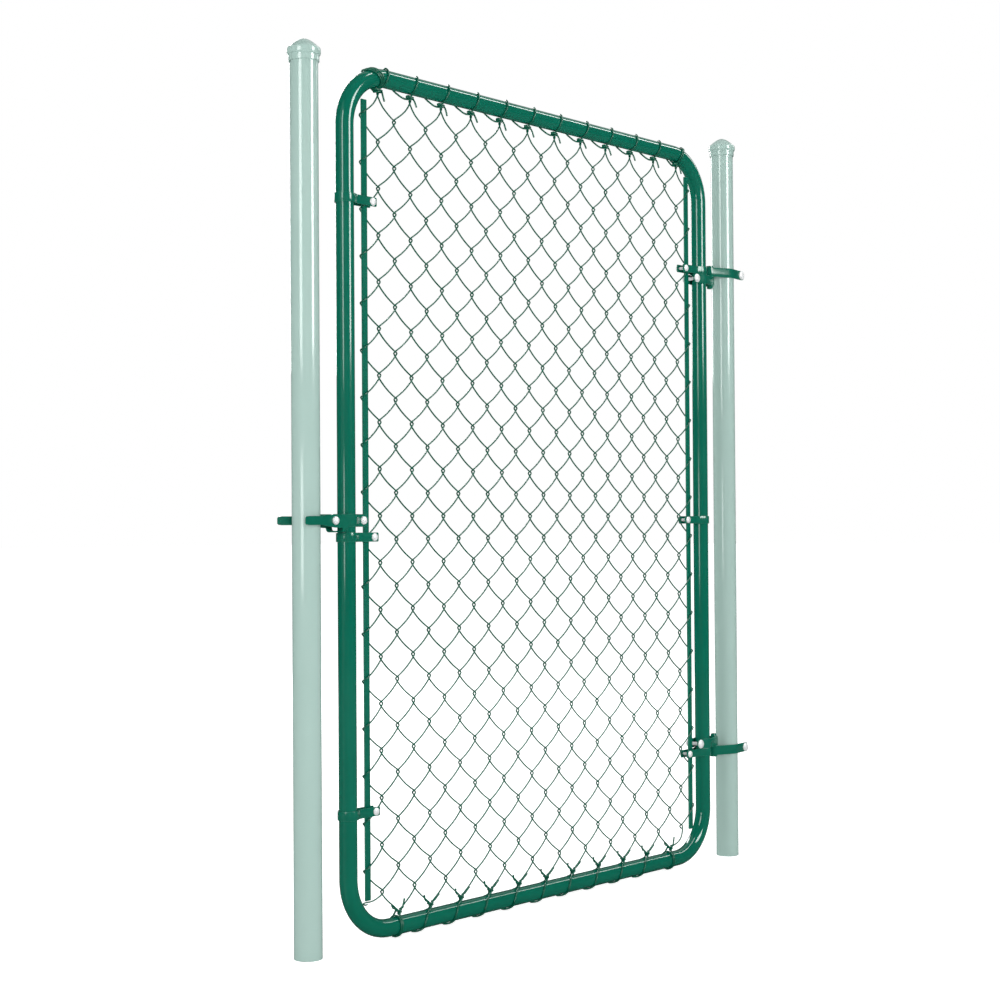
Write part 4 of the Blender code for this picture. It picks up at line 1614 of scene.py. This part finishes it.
@dataclass
class Camera:
    """The photograph's viewpoint, fitted to the gate's own edges."""

    place: tuple[float, float, float] = (-3.3996, -2.2732, 0.7222)
    yaw: float = 40.722
    pitch: float = 0.856
    roll: float = -0.38
    focal: float = 1841.7
    picture: float = 1000.0
    sensor: float = 36.0

    def build(self) -> None:
        """Make the camera and use it."""
        yaw, pitch, roll = (math.radians(v) for v in (self.yaw, self.pitch, self.roll))
        forward = np.array([
            math.cos(yaw) * math.cos(pitch), math.sin(yaw) * math.cos(pitch), math.sin(pitch),
        ])
        level = np.array([math.sin(yaw), -math.cos(yaw), 0.0])
        over = np.cross(level, forward)
        right = math.cos(roll) * level + math.sin(roll) * over
        up = -math.sin(roll) * level + math.cos(roll) * over
        data = bpy.data.cameras.new("photograph")
        data.sensor_width = self.sensor
        data.lens = self.focal / self.picture * data.sensor_width
        item = bpy.data.objects.new("photograph", data)
        stand(item, right, up, -forward, np.array(self.place))
        bpy.context.scene.camera = item


@dataclass(frozen=True)
class SoftBox:
    """A rectangular studio lamp that faces a point.

    A strip shows only in the gloss, and a fill gives only the even light.
    """

    name: str
    place: tuple[float, float, float]
    aim: tuple[float, float, float]
    width: float
    height: float
    power: float
    strip: bool = False

    def build(self) -> None:
        """Make the lamp."""
        data = bpy.data.lights.new(self.name, "AREA")
        data.shape = "RECTANGLE"
        data.size, data.size_y = self.width, self.height
        data.energy = self.power
        item = bpy.data.objects.new(self.name, data)
        item.visible_camera = False
        item.visible_glossy = self.strip
        item.visible_diffuse = not self.strip
        place = np.array(self.place)
        back = unit(place - np.array(self.aim))
        side = unit(np.cross([0.0, 0.0, 1.0], back))
        stand(item, side, np.cross(back, side), back, place)


def grey(level: float) -> tuple[float, float, float, float]:
    """The linear grey of a level."""
    return level, level, level, 1.0


def by_ray(
    tree: bpy.types.NodeTree, camera: bpy.types.Node, soft: bpy.types.Node, gloss: bpy.types.Node,
) -> bpy.types.NodeSocket:
    """Let the camera, soft light and gloss each meet a shader of their own.

    Args:
        tree: The node tree.
        camera: The shader that the camera sees.
        soft: The shader for soft light.
        gloss: The shader that shows in gloss.

    Returns:
        The mixed shader's output.
    """
    ray = add(tree, "ShaderNodeLightPath")
    hidden = add(
        tree, "ShaderNodeMixShader",
        {0: ray.outputs["Is Glossy Ray"], 1: soft.outputs[0], 2: gloss.outputs[0]},
    )
    return add(
        tree, "ShaderNodeMixShader",
        {0: ray.outputs["Is Camera Ray"], 1: hidden.outputs[0], 2: camera.outputs[0]},
    ).outputs[0]


@dataclass
class Studio:
    """A white sweep, a dim room for the gloss, strip lamps for highlights and soft fill."""

    floor_half: float = 60.0
    paper: float = 0.80
    soft_paper: float = 0.75
    gloss_paper: float = 0.1
    glow: tuple[float, float] = (0.72, 1.05)
    glow_reach: tuple[float, float] = (1.5, 5.0)
    room: float = 0.16
    gloss_room: float = 0.04
    boxes: tuple[SoftBox, ...] = (
        SoftBox("strip_left", (-3.95, -0.70, 2.20), (-0.6, 0.0, 1.6), 1.1, 1.9, 48.0, True),
        SoftBox("strip_low", (-3.95, -0.70, 0.74), (-0.6, 0.0, 0.74), 1.1, 0.42, 8.0, True),
        SoftBox("strip_front", (0.14, -3.14, 2.30), (-0.6, 0.0, 1.6), 1.2, 1.9, 96.0, True),
        SoftBox("strip_back", (1.1, 3.0, 2.2), (-0.6, 0.0, 1.5), 0.7, 1.8, 36.0, True),
        SoftBox("strip_over", (1.9, -0.5, 2.8), (1.9, -0.3, 0.0), 5.2, 0.22, 40.0, True),
        SoftBox("strip_ceiling", (1.9, 1.15, 2.8), (1.9, 0.4, 0.0), 5.2, 2.4, 16.0, True),
        SoftBox("fill_camera", (-4.2, -3.8, 1.4), (-0.6, 0.0, 0.8), 4.0, 2.6, 150.0),
        SoftBox("fill_front", (1.4, -4.6, 1.4), (-0.6, 0.0, 0.8), 4.0, 2.6, 100.0),
        SoftBox("fill_left", (-5.2, 1.4, 1.4), (-0.6, 0.0, 0.8), 3.0, 2.6, 60.0),
        SoftBox("fill_back", (-0.6, 4.8, 1.6), (-0.6, 0.0, 0.8), 5.0, 2.6, 160.0),
        SoftBox("fill_right", (4.2, 0.6, 1.6), (-0.6, 0.0, 0.8), 3.0, 2.6, 80.0),
        SoftBox("fill_top", (-0.6, -0.4, 5.0), (-0.6, 0.0, 0.0), 4.0, 3.0, 90.0),
    )

    def build(self) -> None:
        """Make the floor, the room and the lamps."""
        self.floor()
        self.sky()
        for box in self.boxes:
            box.build()
        bpy.context.scene.view_settings.view_transform = "Standard"

    def floor(self) -> None:
        """Make the pale floor.

        The camera sees a white sweep, which brightens with the distance from the gate so
        that it stays white where the lamps end, and soft shadows round the posts' feet.
        """
        half = self.floor_half
        mesh = bpy.data.meshes.new("studio_floor")
        square = [(-half, -half, 0.0), (half, -half, 0.0), (half, half, 0.0), (-half, half, 0.0)]
        mesh.from_pydata(square, [], [(0, 1, 2, 3)])
        material = bpy.data.materials.new("white_paper_sweep")
        material.use_nodes = True
        tree = material.node_tree
        tree.nodes.clear()
        place = add(tree, "ShaderNodeTexCoord").outputs["Object"]
        away = add(tree, "ShaderNodeVectorMath", {0: place}, operation="LENGTH")
        lift = add(
            tree, "ShaderNodeMapRange",
            {"Value": away.outputs["Value"],
             "From Min": self.glow_reach[0], "From Max": self.glow_reach[1],
             "To Min": self.glow[0], "To Max": self.glow[1]},
        )
        glow = add(
            tree, "ShaderNodeEmission", {"Color": grey(1.0), "Strength": lift.outputs["Result"]},
        )
        plain, pale, dim = (
            add(tree, "ShaderNodeBsdfDiffuse", {"Color": grey(level)})
            for level in (self.paper, self.soft_paper, self.gloss_paper)
        )
        bright = add(tree, "ShaderNodeAddShader", {0: plain.outputs[0], 1: glow.outputs[0]})
        surface = by_ray(tree, bright, pale, dim)
        add(tree, "ShaderNodeOutputMaterial", {"Surface": surface})
        mesh.materials.append(material)
        item = bpy.data.objects.new("studio_floor", mesh)
        bpy.context.scene.collection.objects.link(item)

    def sky(self) -> None:
        """Make the room: white to the camera, grey to soft light, and dark to the gloss."""
        world = bpy.data.worlds.new("studio_room")
        world.use_nodes = True
        tree = world.node_tree
        tree.nodes.clear()
        white, soft, dark = (
            add(tree, "ShaderNodeBackground", {"Color": grey(1.0), "Strength": strength})
            for strength in (1.0, self.room, self.gloss_room)
        )
        add(tree, "ShaderNodeOutputWorld", {"Surface": by_ray(tree, white, soft, dark)})
        bpy.context.scene.world = world


def main() -> None:
    """Build the gate, its finishes and the studio."""
    logging.basicConfig(level=logging.INFO, format="%(name)s %(message)s")
    Camera().build()
    fabric = Fabric()
    for part in (
        Post("latch_post"), Post("hinge_post"), GateFrame(), fabric, RailTies(fabric),
        TensionBands(), Hinges(), Latch(), Studio(),
    ):
        part.build()


if __name__ == "__main__":
    main()
